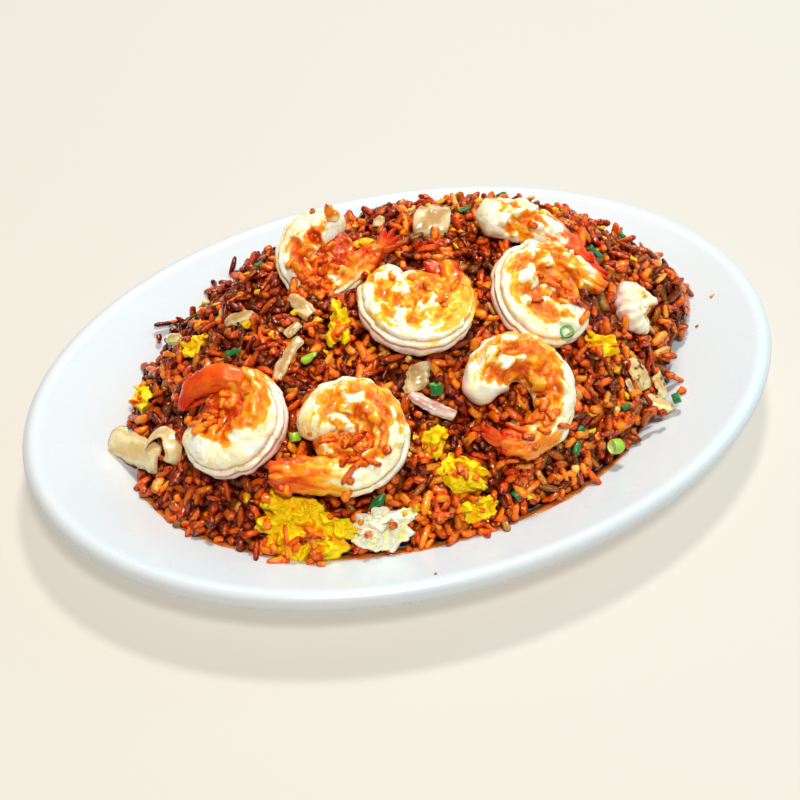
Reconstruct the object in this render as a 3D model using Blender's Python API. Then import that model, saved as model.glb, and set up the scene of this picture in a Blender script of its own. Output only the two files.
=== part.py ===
"""Shrimp fried rice heaped on a white oval platter.

Frame: metres, +Z up, +X along the platter's length. The origin is on the table,
under the middle of the platter.
"""
import math

import bmesh
import bpy
from mathutils import Matrix, Vector, noise

MM = 0.001
GAP = 0.35 * MM             # clearance that touching pieces keep

# Platter: a round-lipped oval, 12 inches long
PLATTER_LENGTH = 305 * MM
PLATTER_WIDTH = 215 * MM
PLATTER_HEIGHT = 30 * MM
LIP_RADIUS = 4.3 * MM
WALL = 3.8 * MM             # thickness of flange and well
SHOULDER_INSET = 35 * MM    # from the outer edge to where the flange turns down
SHOULDER_HEIGHT = 17.5 * MM
FLOOR_INSET = 56 * MM
FLOOR_HEIGHT = 5.6 * MM
FOOT_INSET = 57 * MM
FOOT_WIDTH = 4 * MM
FOOT_HEIGHT = 2 * MM
SIDE_SHARE = 0.83           # the flange is this much narrower across the platter than along it
MERIDIANS = 56              # facets round the platter and the heap

# Rice heap
HEAP_LENGTH = 236 * MM
HEAP_WIDTH = 156 * MM
HEAP_FOOT = 14 * MM         # height at which the heap's footprint is taken
HEAP_RISE = 55 * MM         # from there to the crown
HEAP_FULLNESS = 2.8         # 2 is a plain dome, more is flatter on top and steeper below
CROWN_SHIFT = Vector((8 * MM, 14 * MM))
# the footprint bulges or draws in: direction in degrees, spread in degrees, share of the radius
HEAP_BULGES = ((20, 34, 0.12), (95, 45, 0.09), (172, 25, -0.04), (-35, 20, -0.03), (-108, 40, 0.08))
# local mounds on top: x, y, radius, height
HEAP_KNOBS = (
    (110 * MM, 8 * MM, 16 * MM, 6 * MM),
    (62 * MM, 44 * MM, 26 * MM, 3 * MM),
    (22 * MM, 42 * MM, 16 * MM, 2 * MM),
)
LUMP_SIZE = 15 * MM
LUMP_HEIGHT = 1.6 * MM
EDGE_THICKNESS = 0.8 * MM
BED_GAP = 0.5 * MM          # the rice lies this far above the glaze
FRONT = Vector((-0.38, -0.92, 0.0))


# ---------------------------------------------------------------- helpers

def smooth_step(t):
    t = min(max(t, 0.0), 1.0)
    return t * t * (3 - 2 * t)


def blend_stops(stops, t):
    """Value at t on a smooth line through (place, value) stops."""
    for (t0, v0), (t1, v1) in zip(stops, stops[1:]):
        if t <= t1:
            return v0 + (v1 - v0) * smooth_step((t - t0) / (t1 - t0))
    return stops[-1][1]


def make_material(name, colour, roughness, metallic=0.0):
    material = bpy.data.materials.new(name)
    material.use_nodes = True
    shader = material.node_tree.nodes["Principled BSDF"]
    shader.inputs["Base Color"].default_value = (*colour, 1.0)
    shader.inputs["Roughness"].default_value = roughness
    shader.inputs["Metallic"].default_value = metallic
    return material


def add_object(name, mesh, material, matrix=None):
    mesh.materials.append(material)
    piece = bpy.data.objects.new(name, mesh)
    bpy.context.scene.collection.objects.link(piece)
    if matrix is not None:
        piece.matrix_world = matrix
    return piece


def mesh_from_rings(name, rings, start=None, end=None):
    """Closed skin over rings of points, all of the same count, with a point or a face at each end."""
    bm = bmesh.new()
    loops = [[bm.verts.new(point) for point in ring] for ring in rings]
    count = len(loops[0])
    for lower, upper in zip(loops, loops[1:]):
        for i in range(count):
            j = (i + 1) % count
            bm.faces.new((lower[i], lower[j], upper[j], upper[i]))
    for loop, tip, turned in ((loops[0], start, True), (loops[-1], end, False)):
        ordered = list(reversed(loop)) if turned else loop
        if tip is None:
            bm.faces.new(ordered)
            continue
        middle = bm.verts.new(tip)
        for i in range(count):
            bm.faces.new((ordered[i], ordered[(i + 1) % count], middle))
    bmesh.ops.recalc_face_normals(bm, faces=bm.faces)
    mesh = bpy.data.meshes.new(name)
    bm.to_mesh(mesh)
    bm.free()
    mesh.shade_smooth()
    return mesh


# ---------------------------------------------------------------- platter

def oval_point(angle, inset, height):
    """Point on the oval that lies inset from the outer edge."""
    half_length = PLATTER_LENGTH / 2 - inset
    half_width = PLATTER_WIDTH / 2 - inset * SIDE_SHARE
    return Vector((half_length * math.cos(angle), half_width * math.sin(angle), height))


def oval_ring(inset, height):
    return [oval_point(math.tau * i / MERIDIANS, inset, height) for i in range(MERIDIANS)]


def dish_profile():
    """(inset, height) down the inside, from the lip's crest to the edge of the floor."""
    slope = math.atan2(PLATTER_HEIGHT - SHOULDER_HEIGHT, SHOULDER_INSET - LIP_RADIUS)
    crest_end = (
        LIP_RADIUS * (1 + math.sin(slope)),
        PLATTER_HEIGHT - LIP_RADIUS * (1 - math.cos(slope)),
    )
    wall_run = FLOOR_INSET - SHOULDER_INSET
    wall_drop = SHOULDER_HEIGHT - FLOOR_HEIGHT
    wall = []
    for share in (0.1, 0.28, 0.5, 0.75):
        wall.append((
            SHOULDER_INSET + wall_run * share,
            FLOOR_HEIGHT + wall_drop * (0.5 + 0.5 * math.cos(math.pi * share ** 0.8)),
        ))
    return [crest_end, (SHOULDER_INSET, SHOULDER_HEIGHT), *wall, (FLOOR_INSET, FLOOR_HEIGHT)]


DISH_PROFILE = dish_profile()


def dish_height(inset):
    """Height of the inside of the platter at an inset."""
    if inset >= FLOOR_INSET:
        return FLOOR_HEIGHT
    for (inset_0, height_0), (inset_1, height_1) in zip(DISH_PROFILE, DISH_PROFILE[1:]):
        if inset <= inset_1:
            return height_0 + (height_1 - height_0) * (inset - inset_0) / (inset_1 - inset_0)
    return FLOOR_HEIGHT


def make_platter():
    lip_centre = PLATTER_HEIGHT - LIP_RADIUS
    inside = [oval_ring(inset, height) for inset, height in reversed(DISH_PROFILE)]
    lip = []
    for degrees in range(90, -91, -30):
        turn = math.radians(degrees)
        lip.append(oval_ring(
            LIP_RADIUS * (1 - math.cos(turn)),
            lip_centre + LIP_RADIUS * math.sin(turn),
        ))
    lip_under = lip_centre - LIP_RADIUS
    foot_out = FOOT_INSET + FOOT_WIDTH
    underside = [
        oval_ring(LIP_RADIUS * 2.2, lip_under + 0.4 * MM),
        oval_ring(SHOULDER_INSET, SHOULDER_HEIGHT - WALL * 1.1),
        oval_ring(FLOOR_INSET - 7 * MM, FLOOR_HEIGHT - WALL * 0.5),
        oval_ring(FOOT_INSET - 1.5 * MM, FOOT_HEIGHT),
        oval_ring(FOOT_INSET, 0.0),
        oval_ring(foot_out, 0.0),
        oval_ring(foot_out + 1.5 * MM, FOOT_HEIGHT),
    ]
    mesh = mesh_from_rings(
        "platter", inside + lip + underside,
        start=(0, 0, FLOOR_HEIGHT), end=(0, 0, FOOT_HEIGHT),
    )
    return add_object("platter", mesh, make_material("white_glaze", (0.86, 0.88, 0.90), 0.12))


# ---------------------------------------------------------------- rice heap

def footprint_share(angle):
    share = 1.0
    for direction, spread, amount in HEAP_BULGES:
        off = (math.degrees(angle) - direction + 180) % 360 - 180
        share += amount * math.exp(-(off / spread) ** 2)
    return share


def heap_height(x, y):
    """Height of the heap's even surface: a dome whose crown is pushed off the middle."""
    lift = 0.5
    for _ in range(40):
        across = (x - CROWN_SHIFT.x * lift) / (HEAP_LENGTH / 2)
        along = (y - CROWN_SHIFT.y * lift) / (HEAP_WIDTH / 2)
        reach = math.hypot(across, along) / footprint_share(math.atan2(along, across))
        lift = 0.6 * lift + 0.4 * max(1 - reach ** HEAP_FULLNESS, -1.0)
    height = HEAP_FOOT + HEAP_RISE * lift
    for knob_x, knob_y, radius, rise in HEAP_KNOBS:
        height += rise * math.exp(-((x - knob_x) ** 2 + (y - knob_y) ** 2) / radius ** 2)
    return height


def heap_normal(x, y):
    step = 5 * MM
    slope_x = (heap_height(x + step, y) - heap_height(x - step, y)) / (2 * step)
    slope_y = (heap_height(x, y + step) - heap_height(x, y - step)) / (2 * step)
    return Vector((-slope_x, -slope_y, 1)).normalized()


def heap_lump(x, y):
    coarse = noise.noise(Vector((x, y, 0)) / LUMP_SIZE)
    fine = noise.noise(Vector((x, y, LUMP_SIZE)) / (LUMP_SIZE * 0.45))
    return LUMP_HEIGHT * (1.6 * coarse + 0.9 * fine)


def heap_edge_inset(angle):
    """Inset at which the heap's surface comes down to the platter."""
    step = 0.25 * MM
    inset = FLOOR_INSET
    while inset > LIP_RADIUS * 2:
        point = oval_point(angle, inset, 0)
        if heap_height(point.x, point.y) < dish_height(inset) + BED_GAP + EDGE_THICKNESS:
            break
        inset -= step
    return inset


def make_heap_body(material):
    angles = [math.tau * i / MERIDIANS for i in range(MERIDIANS)]
    edges = [heap_edge_inset(angle) for angle in angles]
    bed = []
    for inset, height in reversed(DISH_PROFILE[1:]):
        # rings of the bed follow the platter's own rings, as far out as the heap reaches
        ring = []
        for angle, edge in zip(angles, edges):
            held = max(inset, edge + 0.4 * MM)
            ring.append(oval_point(angle, held, dish_height(held) + BED_GAP))
        bed.append(ring)
    under_edge = []
    over_edge = []
    for angle, edge in zip(angles, edges):
        height = dish_height(edge) + BED_GAP
        under_edge.append(oval_point(angle, edge, height))
        over_edge.append(oval_point(angle, edge, height + EDGE_THICKNESS))
    top = []
    for share in (0.965, 0.92, 0.865, 0.8, 0.72, 0.63, 0.53, 0.42, 0.3, 0.16):
        ring = []
        for point in over_edge:
            x, y = point.x * share, point.y * share
            fade = smooth_step((1 - share) / 0.1)
            ring.append(Vector((x, y, heap_height(x, y) + heap_lump(x, y) * fade)))
        top.append(ring)
    mesh = mesh_from_rings(
        "rice_heap", bed + [under_edge, over_edge] + top,
        start=(0, 0, FLOOR_HEIGHT + BED_GAP), end=(0, 0, heap_height(0, 0) + heap_lump(0, 0)),
    )
    return add_object("rice_heap", mesh, material)


def seat_on_heap(x, y, rise, lean=0.0, turn=0.0):
    """Matrix of a piece lying on the heap.

    rise lifts it off the surface and turn spins it, in degrees from +X. A lean above
    0 props it up towards the front of the dish, one below 0 levels it by that share.
    """
    normal = heap_normal(x, y)
    if lean > 0:
        normal = (normal + FRONT * lean).normalized()
    else:
        normal = normal.lerp(Vector((0, 0, 1)), -lean).normalized()
    side = (Vector((1, 0, 0)) - normal * normal.x).normalized()
    frame = Matrix((side, normal.cross(side), normal)).transposed().to_4x4()
    place = Vector((x, y, heap_height(x, y))) + normal * rise
    return Matrix.Translation(place) @ frame @ Matrix.Rotation(math.radians(turn), 4, "Z")


# ---------------------------------------------------------------- shrimp

HEAD_GIRTH = ((0.0, 0.58), (0.07, 0.9), (0.2, 1.0), (0.45, 0.95))    # shares of the full girth
BODY_STATIONS = 12
BODY_SIDES = 7
BODY_FLATNESS = 0.8         # thickness across the curl, as a share of the girth
FAN_LENGTH = 9 * MM
# the tail fan: share of its length, and of the girth in width and in thickness
FAN_STATIONS = ((0.2, 0.36, 0.3), (0.6, 0.52, 0.14), (1.0, 0.5, 0.1))
CLOSED_CURL = 180           # from this many degrees on, a shrimp is placed by the middle of its curl
SPINE_STEPS = 90

# name: x, y, rise, lean, head direction, hand (+1 curls anticlockwise from above), radius of the
# curl, spiral (share by which the tail end lies further out), degrees of curl, straight tail,
# half girth, tail girth as a share of it, tail fan
SHRIMP = {
    "shrimp_front_left": (-75, -17.5, 5.0, 0.0, 158, 1, 12.4, 0.15, 278, 9, 10.2, 0.5, True),
    "shrimp_front_middle": (-40.5, -42, 4.0, 0.0, 172, -1, 12.8, 0.3, 285, 28, 8.9, 0.74, False),
    "shrimp_middle": (0, -9, 5.5, 0.0, 90, 1, 13.9, 0.2, 270, 13, 9.3, 0.52, True),
    "shrimp_back_left": (-20.5, 31.5, 6.0, 0.8, 33, 1, 11.5, 0.1, 260, 19, 7.8, 0.5, True),
    "shrimp_front_right": (21.5, -46.5, 4.0, 0.0, 182, -1, 14.8, 0.6, 300, 4, 9.5, 0.5, True),
    "shrimp_back_right": (48, -15, 6.0, 0.2, -30, -1, 13.4, 0.3, 286, 20, 8.8, 0.5, False),
    "shrimp_far_back": (56, 10.5, 4.0, 0.45, 78, -1, 50.0, 0.0, 48, 8, 8.2, 0.5, True),
    "shrimp_far_right": (92, -16.5, 2.0, 0.0, 120, 1, 11.0, 0.0, 100, 1, 8.6, 0.5, False),
}


def curl_spine(head, hand, radius, spiral, curl, tail):
    """Points and headings of a spine in the XY plane: a spiral arc, then a straight run."""
    points = []
    for i in range(SPINE_STEPS + 1):
        share = i / SPINE_STEPS
        angle = math.radians(head + hand * curl * share)
        reach = radius * (1 + spiral * (share - 0.5))
        points.append(Vector((math.cos(angle), math.sin(angle), 0)) * reach)
    away = (points[-1] - points[-2]).normalized()
    points.append(points[-1] + away * tail)
    runs = [0.0]
    for start, end in zip(points, points[1:]):
        runs.append(runs[-1] + (end - start).length)
    stations = []
    leg = 0
    for i in range(BODY_STATIONS):
        run = runs[-1] * i / (BODY_STATIONS - 1)
        while leg < len(runs) - 2 and runs[leg + 1] < run:
            leg += 1
        direction = (points[leg + 1] - points[leg]).normalized()
        stations.append((points[leg] + direction * (run - runs[leg]), direction))
    return stations


def body_ring(point, direction, half_girth, half_thickness):
    side = Vector((0, 0, 1)).cross(direction)
    ring = []
    for i in range(BODY_SIDES):
        turn = math.tau * i / BODY_SIDES
        ring.append(point + side * (half_girth * math.cos(turn))
                    + Vector((0, 0, half_thickness * math.sin(turn))))
    return ring


def make_shrimp(name, place):
    x, y, rise, lean, head, hand, radius, spiral, curl, tail, girth, tail_share, has_fan = place
    stations = curl_spine(head, hand, radius * MM, spiral, curl, tail * MM)
    girth *= MM
    stops = (*HEAD_GIRTH, (0.75, 0.45 + 0.55 * tail_share), (1.0, tail_share))
    rings = []
    for i, (point, direction) in enumerate(stations):
        half = girth * blend_stops(stops, i / (BODY_STATIONS - 1))
        rings.append(body_ring(point, direction, half, half * BODY_FLATNESS))
    end, heading = stations[-1]
    tail_tip = end + heading * girth * tail_share * 0.5
    if has_fan:
        tail_tip = end + heading * FAN_LENGTH * 1.12
        for step, wide, thick in FAN_STATIONS:
            rings.append(body_ring(
                end + heading * FAN_LENGTH * step, heading, girth * wide, girth * thick))
    first, start_heading = stations[0]
    head_tip = first - start_heading * girth * 0.22
    middle = Vector() if curl >= CLOSED_CURL else (first + end) / 2
    rings = [[point - middle for point in ring] for ring in rings]
    mesh = mesh_from_rings(name, rings, start=head_tip - middle, end=tail_tip - middle)
    material = make_material(name, (0.86, 0.62, 0.34), 0.35)
    return add_object(name, mesh, material, seat_on_heap(x * MM, y * MM, rise * MM, lean))


# ---------------------------------------------------------------- egg

# name: x, y, rise, lean, turn, length, width, height, seed
EGG = {
    "egg_front_yolk": (-66, -58.5, 2.0, 0.0, -30, 36, 20, 8, 1),
    "egg_front_white": (-39.5, -68.5, 1.0, 0.0, -8, 23, 15, 8, 2),
    "egg_centre_upper": (-11.5, -53, 1.0, 0.0, 60, 12, 8.5, 7, 3),
    "egg_centre_lower": (-7, -64, 1.0, 0.0, -40, 18, 13, 7, 4),
    "egg_front_right": (-1.5, -74, 1.5, 0.0, 10, 13, 9, 7, 5),
    "egg_upper_left": (-29, -3.5, 1.0, 0.2, 70, 17, 8, 7, 6),
    "egg_left_edge": (-99, 26, 0.5, 0.0, 40, 12, 9, 6, 7),
    "egg_left_lump": (-77, 26, 0.5, 0.0, 10, 10, 8, 6, 8),
    "egg_right": (66.5, -32, 1.0, 0.0, -30, 13, 8, 6, 9),
}
EGG_ROUGHNESS = 0.22


def make_egg(name, place):
    x, y, rise, lean, turn, length, width, height, seed = place
    bm = bmesh.new()
    bmesh.ops.create_icosphere(bm, subdivisions=2, radius=1.0)
    offset = Vector((seed * 7.3, seed * 3.1, 0))
    for vert in bm.verts:
        swell = 1 + EGG_ROUGHNESS * noise.noise(vert.co * 1.9 + offset)
        # the edge of a torn flake runs in and out
        flat = 1 - abs(vert.co.z)
        swell += EGG_ROUGHNESS * flat * noise.noise(vert.co * 3.3 + offset)
        vert.co = Vector((
            vert.co.x * swell * length * MM / 2,
            vert.co.y * swell * width * MM / 2,
            vert.co.z * swell * height * MM / 2,
        ))
    bmesh.ops.recalc_face_normals(bm, faces=bm.faces)
    mesh = bpy.data.meshes.new(name)
    bm.to_mesh(mesh)
    bm.free()
    mesh.shade_smooth()
    white = name == "egg_front_white"
    colour = (0.90, 0.82, 0.55) if white else (0.93, 0.66, 0.04)
    material = make_material(name, colour, 0.45)
    return add_object(name, mesh, material, seat_on_heap(x * MM, y * MM, rise * MM, lean, turn))


# ---------------------------------------------------------------- onion

# name: x, y, rise, lean, turn, length, width, thickness, arch in degrees, sideways bend in degrees
ONION = {
    "onion_left_long": (-107, 4, 4.5, 0.2, -60, 27, 9, 2.2, -16, 10),
    "onion_left_arch": (-99, -3, 8.0, 0.2, -42, 19, 6.5, 2.4, 110, 30),
    "onion_upper_left": (-59.5, 23.5, 1.4, 0.0, -42, 12, 6.5, 2.2, 25, 0),
    "onion_long": (-51, -6.5, 1.4, 0.0, 38, 19, 5, 2.0, 20, -15),
    "onion_under_shrimp": (-38.5, 13, 1.4, 0.0, -82, 15, 6, 2.0, 30, 20),
    "onion_back_round": (24, 33.5, 3.0, 0.5, -20, 14, 14, 3.4, 40, 0),
    "onion_middle": (-10.5, -33.5, 1.8, 0.0, 60, 11, 7, 2.2, 25, 0),
    "onion_pink": (-9, -43.8, 1.8, 0.0, -44, 15, 4.6, 2.2, 25, 25),
    "onion_charred_upper": (81, -38.5, 1.5, 0.0, -70, 14, 9, 2.8, 30, 10),
    "onion_charred_side": (90, -40, 2.0, 0.0, -80, 10, 7, 2.6, 20, 0),
    "onion_charred_lower": (85.5, -48.0, 4.6, -0.75, -50, 12.5, 6, 2.4, 20, 0),
}
ONION_STATIONS = 6
ONION_SIDES = 6


def make_onion(name, place):
    x, y, rise, lean, turn, length, width, thickness, arch, bend = place
    rings = []
    for i in range(ONION_STATIONS):
        t = i / (ONION_STATIONS - 1) - 0.5
        lift = -math.radians(arch) * t
        yaw = math.radians(bend) * t
        heading = Matrix.Rotation(yaw, 3, "Z") @ Matrix.Rotation(-lift, 3, "Y")
        along = length * t
        point = Vector((
            along * math.cos(yaw / 2) * math.cos(lift / 2),
            along * math.sin(yaw / 2),
            along * math.sin(lift / 2),
        ))
        taper = math.sqrt(max(1 - (2 * t) ** 4, 0)) * 0.55 + 0.45
        ring = []
        for k in range(ONION_SIDES):
            around = math.tau * k / ONION_SIDES
            across = Vector((
                0,
                width / 2 * taper * math.cos(around),
                thickness / 2 * math.sin(around),
            ))
            ring.append((point + heading @ across) * MM)
        rings.append(ring)
    mesh = mesh_from_rings(name, rings)
    material = make_material(name, (0.72, 0.60, 0.36), 0.3)
    return add_object(name, mesh, material, seat_on_heap(x * MM, y * MM, rise * MM, lean, turn))


# ---------------------------------------------------------------- fitting pieces together

def make_cutter(piece, collection):
    """A copy of the piece, larger all round by the gap, that cuts room for it in the rice."""
    mesh = piece.data.copy()
    normals = [vert.normal.copy() for vert in mesh.vertices]
    for vert, normal in zip(mesh.vertices, normals):
        vert.co = vert.co + normal * GAP * 1.4
    cutter = bpy.data.objects.new(piece.name + "_room", mesh)
    cutter.matrix_world = piece.matrix_world.copy()
    cutter.hide_render = True
    cutter.display_type = "WIRE"
    collection.objects.link(cutter)
    return cutter


def keep_largest_body(mesh):
    """Crumbs that the cuts leave loose are dropped, so the mesh stays one body."""
    bm = bmesh.new()
    bm.from_mesh(mesh)
    left = set(bm.verts)
    bodies = []
    while left:
        seed = left.pop()
        body = {seed}
        front = [seed]
        while front:
            vert = front.pop()
            for edge in vert.link_edges:
                other = edge.other_vert(vert)
                if other in left:
                    left.discard(other)
                    body.add(other)
                    front.append(other)
        bodies.append(body)
    bodies.sort(key=len)
    for body in bodies[:-1]:
        bmesh.ops.delete(bm, geom=list(body), context="VERTS")
    bm.to_mesh(mesh)
    bm.free()


def cut_room(body, pieces):
    """Cut room for the pieces out of the body, and bake the result into its mesh."""
    collection = bpy.data.collections.new(body.name + "_cutters")
    bpy.context.scene.collection.children.link(collection)
    for piece in pieces:
        make_cutter(piece, collection)
    cut = body.modifiers.new("room", "BOOLEAN")
    cut.operation = "DIFFERENCE"
    cut.solver = "EXACT"
    cut.operand_type = "COLLECTION"
    cut.collection = collection
    bpy.context.view_layer.update()
    baked = bpy.data.meshes.new_from_object(body.evaluated_get(bpy.context.evaluated_depsgraph_get()))
    body.modifiers.clear()
    body.data = baked
    keep_largest_body(baked)
    for cutter in list(collection.objects):
        bpy.data.objects.remove(cutter)
    bpy.data.collections.remove(collection)


def main():
    for old in list(bpy.data.objects):
        bpy.data.objects.remove(old)
    make_platter()
    heap = make_heap_body(make_material("rice_heap", (0.30, 0.09, 0.03), 0.4))
    shrimp = [make_shrimp(name, place) for name, place in SHRIMP.items()]
    egg = [make_egg(name, place) for name, place in EGG.items()]
    onion = [make_onion(name, place) for name, place in ONION.items()]
    bpy.context.view_layer.update()
    cut_room(heap, shrimp + egg + onion)


main()
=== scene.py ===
"""Looks of the shrimp fried rice: a glazed oval platter, grains heaped over a core, and the toppings.

Metres, +Z up, +X along the platter's length, origin on the table under the middle of the platter.
"""

import math

import bpy
import numpy as np
from mathutils import Matrix, Vector, noise
from mathutils.bvhtree import BVHTree


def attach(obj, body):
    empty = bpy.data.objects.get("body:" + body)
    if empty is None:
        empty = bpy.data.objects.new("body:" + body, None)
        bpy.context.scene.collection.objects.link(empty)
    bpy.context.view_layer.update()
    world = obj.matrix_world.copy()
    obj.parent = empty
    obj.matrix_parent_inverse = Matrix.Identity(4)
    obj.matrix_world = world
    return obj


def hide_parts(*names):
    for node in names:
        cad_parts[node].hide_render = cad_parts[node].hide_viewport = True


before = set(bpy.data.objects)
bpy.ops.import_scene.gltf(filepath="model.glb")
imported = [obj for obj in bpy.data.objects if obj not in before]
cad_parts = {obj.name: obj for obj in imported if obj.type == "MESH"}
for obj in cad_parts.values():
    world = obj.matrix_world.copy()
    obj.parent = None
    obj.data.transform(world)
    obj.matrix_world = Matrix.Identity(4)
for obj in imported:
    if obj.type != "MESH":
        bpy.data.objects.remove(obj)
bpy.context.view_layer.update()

MM = 0.001
rng = np.random.default_rng(417)

# Platter
HALF_LENGTH = 152.5 * MM
HALF_WIDTH = 107.5 * MM
PLATTER_HEIGHT = 30 * MM
LIP_RADIUS = 4.3 * MM
WALL = 3.8 * MM
SHOULDER_INSET = 35 * MM
SHOULDER_HEIGHT = 17.5 * MM
FLOOR_INSET = 56 * MM
FLOOR_HEIGHT = 5.6 * MM
FOOT_INSET = 57 * MM
FOOT_WIDTH = 4 * MM
FOOT_HEIGHT = 2 * MM
SIDE_SHARE = 0.83           # the flange is this much narrower across the platter than along it
MERIDIANS = 160

# Rice heap: a dome on the oval footprint, with its crown pushed off the middle
HEAP_LENGTH = 236 * MM
HEAP_WIDTH = 156 * MM
HEAP_FOOT = 14 * MM
HEAP_RISE = 55 * MM
HEAP_FULLNESS = 2.8
CROWN_X, CROWN_Y = 8 * MM, 14 * MM
# direction in degrees, spread in degrees, share of the radius
HEAP_BULGES = ((20, 34, 0.12), (95, 45, 0.09), (172, 25, -0.04), (-35, 20, -0.03), (-108, 40, 0.08))
# x, y, radius, height
HEAP_KNOBS = (
    (110 * MM, 8 * MM, 16 * MM, 6 * MM),
    (62 * MM, 44 * MM, 26 * MM, 3 * MM),
    (22 * MM, 42 * MM, 16 * MM, 2 * MM),
)
FRONT = Vector((-0.38, -0.92, 0.0))

# Grains
GRAIN_LENGTH = 7.3 * MM
GRAIN_WIDTH = 2.9 * MM
GRAIN_THICKNESS = 2.4 * MM
GRAIN_SINK = 1.00 * MM      # sticky grains press into each other by this much
GRAIN_RINGS = 5
GRAIN_SIDES = 6
GRAIN_FORMS = 28
BED_DEPTH = 4.8 * MM        # how far the core lies under the heap's surface
CELL = 0.65 * MM            # grid on which the grains are laid
GRAIN_LIMIT = 8200


# ---------------------------------------------------------------- numbers and noise

def smooth(value, low, high):
    """0 below low, 1 above high, and an S curve between them."""
    share = np.clip((np.asarray(value, float) - low) / (high - low), 0, 1)
    return share * share * (3 - 2 * share)


def lumps(points, size, seed=0.0):
    """Noise from -1 to 1 at each point, with lumps of the given size."""
    shift = Vector((seed * 13.7, seed * 5.1, seed * 9.3))
    return np.array([noise.noise(Vector(point) / size + shift) for point in points])


def folds(points, size, seed=0.0):
    """Noise from 0 to 1 with sharp crests, like creases."""
    return 1 - np.abs(lumps(points, size, seed)) * 2


def unit(vectors):
    return vectors / np.maximum(np.linalg.norm(vectors, axis=-1, keepdims=True), 1e-12)


def srgb(red, green, blue):
    """Linear colour from the 0-255 values of a colour chart."""
    parts = [value / 255 for value in (red, green, blue)]
    return (*[part / 12.92 if part <= 0.04045 else ((part + 0.055) / 1.055) ** 2.4 for part in parts], 1.0)


# ---------------------------------------------------------------- dish and heap surfaces

def oval_inset(x, y):
    """How far a point lies inside the platter's outer edge."""
    near, far = np.zeros_like(x), np.full_like(x, 105 * MM)
    for _ in range(26):
        middle = (near + far) / 2
        reach = (x / (HALF_LENGTH - middle)) ** 2 + (y / (HALF_WIDTH - middle * SIDE_SHARE)) ** 2
        near, far = np.where(reach < 1, middle, near), np.where(reach < 1, far, middle)
    return near


def dish_profile():
    """Insets and heights down the inside of the dish, with its bends rounded off."""
    slope = math.atan2(PLATTER_HEIGHT - SHOULDER_HEIGHT, SHOULDER_INSET - LIP_RADIUS)
    crest_inset = LIP_RADIUS * (1 + math.sin(slope))
    crest_height = PLATTER_HEIGHT - LIP_RADIUS * (1 - math.cos(slope))
    insets = np.arange(crest_inset, FLOOR_INSET + 6 * MM, 0.5 * MM)
    share = np.clip((insets - SHOULDER_INSET) / (FLOOR_INSET - SHOULDER_INSET), 0, 1)
    wall = FLOOR_HEIGHT + (SHOULDER_HEIGHT - FLOOR_HEIGHT) * (0.5 + 0.5 * np.cos(math.pi * share ** 0.8))
    flange_share = (insets - crest_inset) / (SHOULDER_INSET - crest_inset)
    flange = crest_height + (SHOULDER_HEIGHT - crest_height) * flange_share
    heights = np.where(insets < SHOULDER_INSET, flange, wall)
    spread = 5
    kernel = np.exp(-(np.arange(-2 * spread, 2 * spread + 1) / spread) ** 2)
    padded = np.concatenate([
        heights[0] - (heights[1] - heights[0]) * np.arange(2 * spread, 0, -1),
        heights, np.full(2 * spread, heights[-1]),
    ])
    return insets, np.convolve(padded, kernel / kernel.sum(), "valid")


DISH_INSETS, DISH_HEIGHTS = dish_profile()


def dish_height(x, y):
    return np.interp(oval_inset(x, y), DISH_INSETS, DISH_HEIGHTS)


def heap_height(x, y):
    lift = np.full_like(x, 0.5)
    for _ in range(40):
        across = (x - CROWN_X * lift) / (HEAP_LENGTH / 2)
        along = (y - CROWN_Y * lift) / (HEAP_WIDTH / 2)
        angle = np.degrees(np.arctan2(along, across))
        share = np.ones_like(x)
        for direction, spread, amount in HEAP_BULGES:
            share = share + amount * np.exp(-(((angle - direction + 180) % 360 - 180) / spread) ** 2)
        reach = np.hypot(across, along) / share
        lift = 0.6 * lift + 0.4 * np.maximum(1 - reach ** HEAP_FULLNESS, -1.0)
    height = HEAP_FOOT + HEAP_RISE * lift
    for knob_x, knob_y, radius, rise in HEAP_KNOBS:
        height = height + rise * np.exp(-((x - knob_x) ** 2 + (y - knob_y) ** 2) / radius ** 2)
    return height


def surface_normals(height_of, x, y, step):
    slope_x = (height_of(x + step, y) - height_of(x - step, y)) / (2 * step)
    slope_y = (height_of(x, y + step) - height_of(x, y - step)) / (2 * step)
    return unit(np.stack([-slope_x, -slope_y, np.ones_like(x)], axis=-1))


def seat_on_heap(x, y, rise, lean=0.0, turn=0.0):
    """Matrix of a piece lying on the heap, in metres and degrees, as in the CAD model."""
    spot_x, spot_y = np.array([x * MM]), np.array([y * MM])
    normal = Vector(surface_normals(heap_height, spot_x, spot_y, 5 * MM)[0])
    if lean > 0:
        normal = (normal + FRONT * lean).normalized()
    else:
        normal = normal.lerp(Vector((0, 0, 1)), -lean).normalized()
    side = (Vector((1, 0, 0)) - normal * normal.x).normalized()
    axes = Matrix((side, normal.cross(side), normal)).transposed().to_4x4()
    place = Vector((x * MM, y * MM, heap_height(spot_x, spot_y)[0])) + normal * rise * MM
    return Matrix.Translation(place) @ axes @ Matrix.Rotation(math.radians(turn), 4, "Z")


# ---------------------------------------------------------------- meshes from arrays

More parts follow.
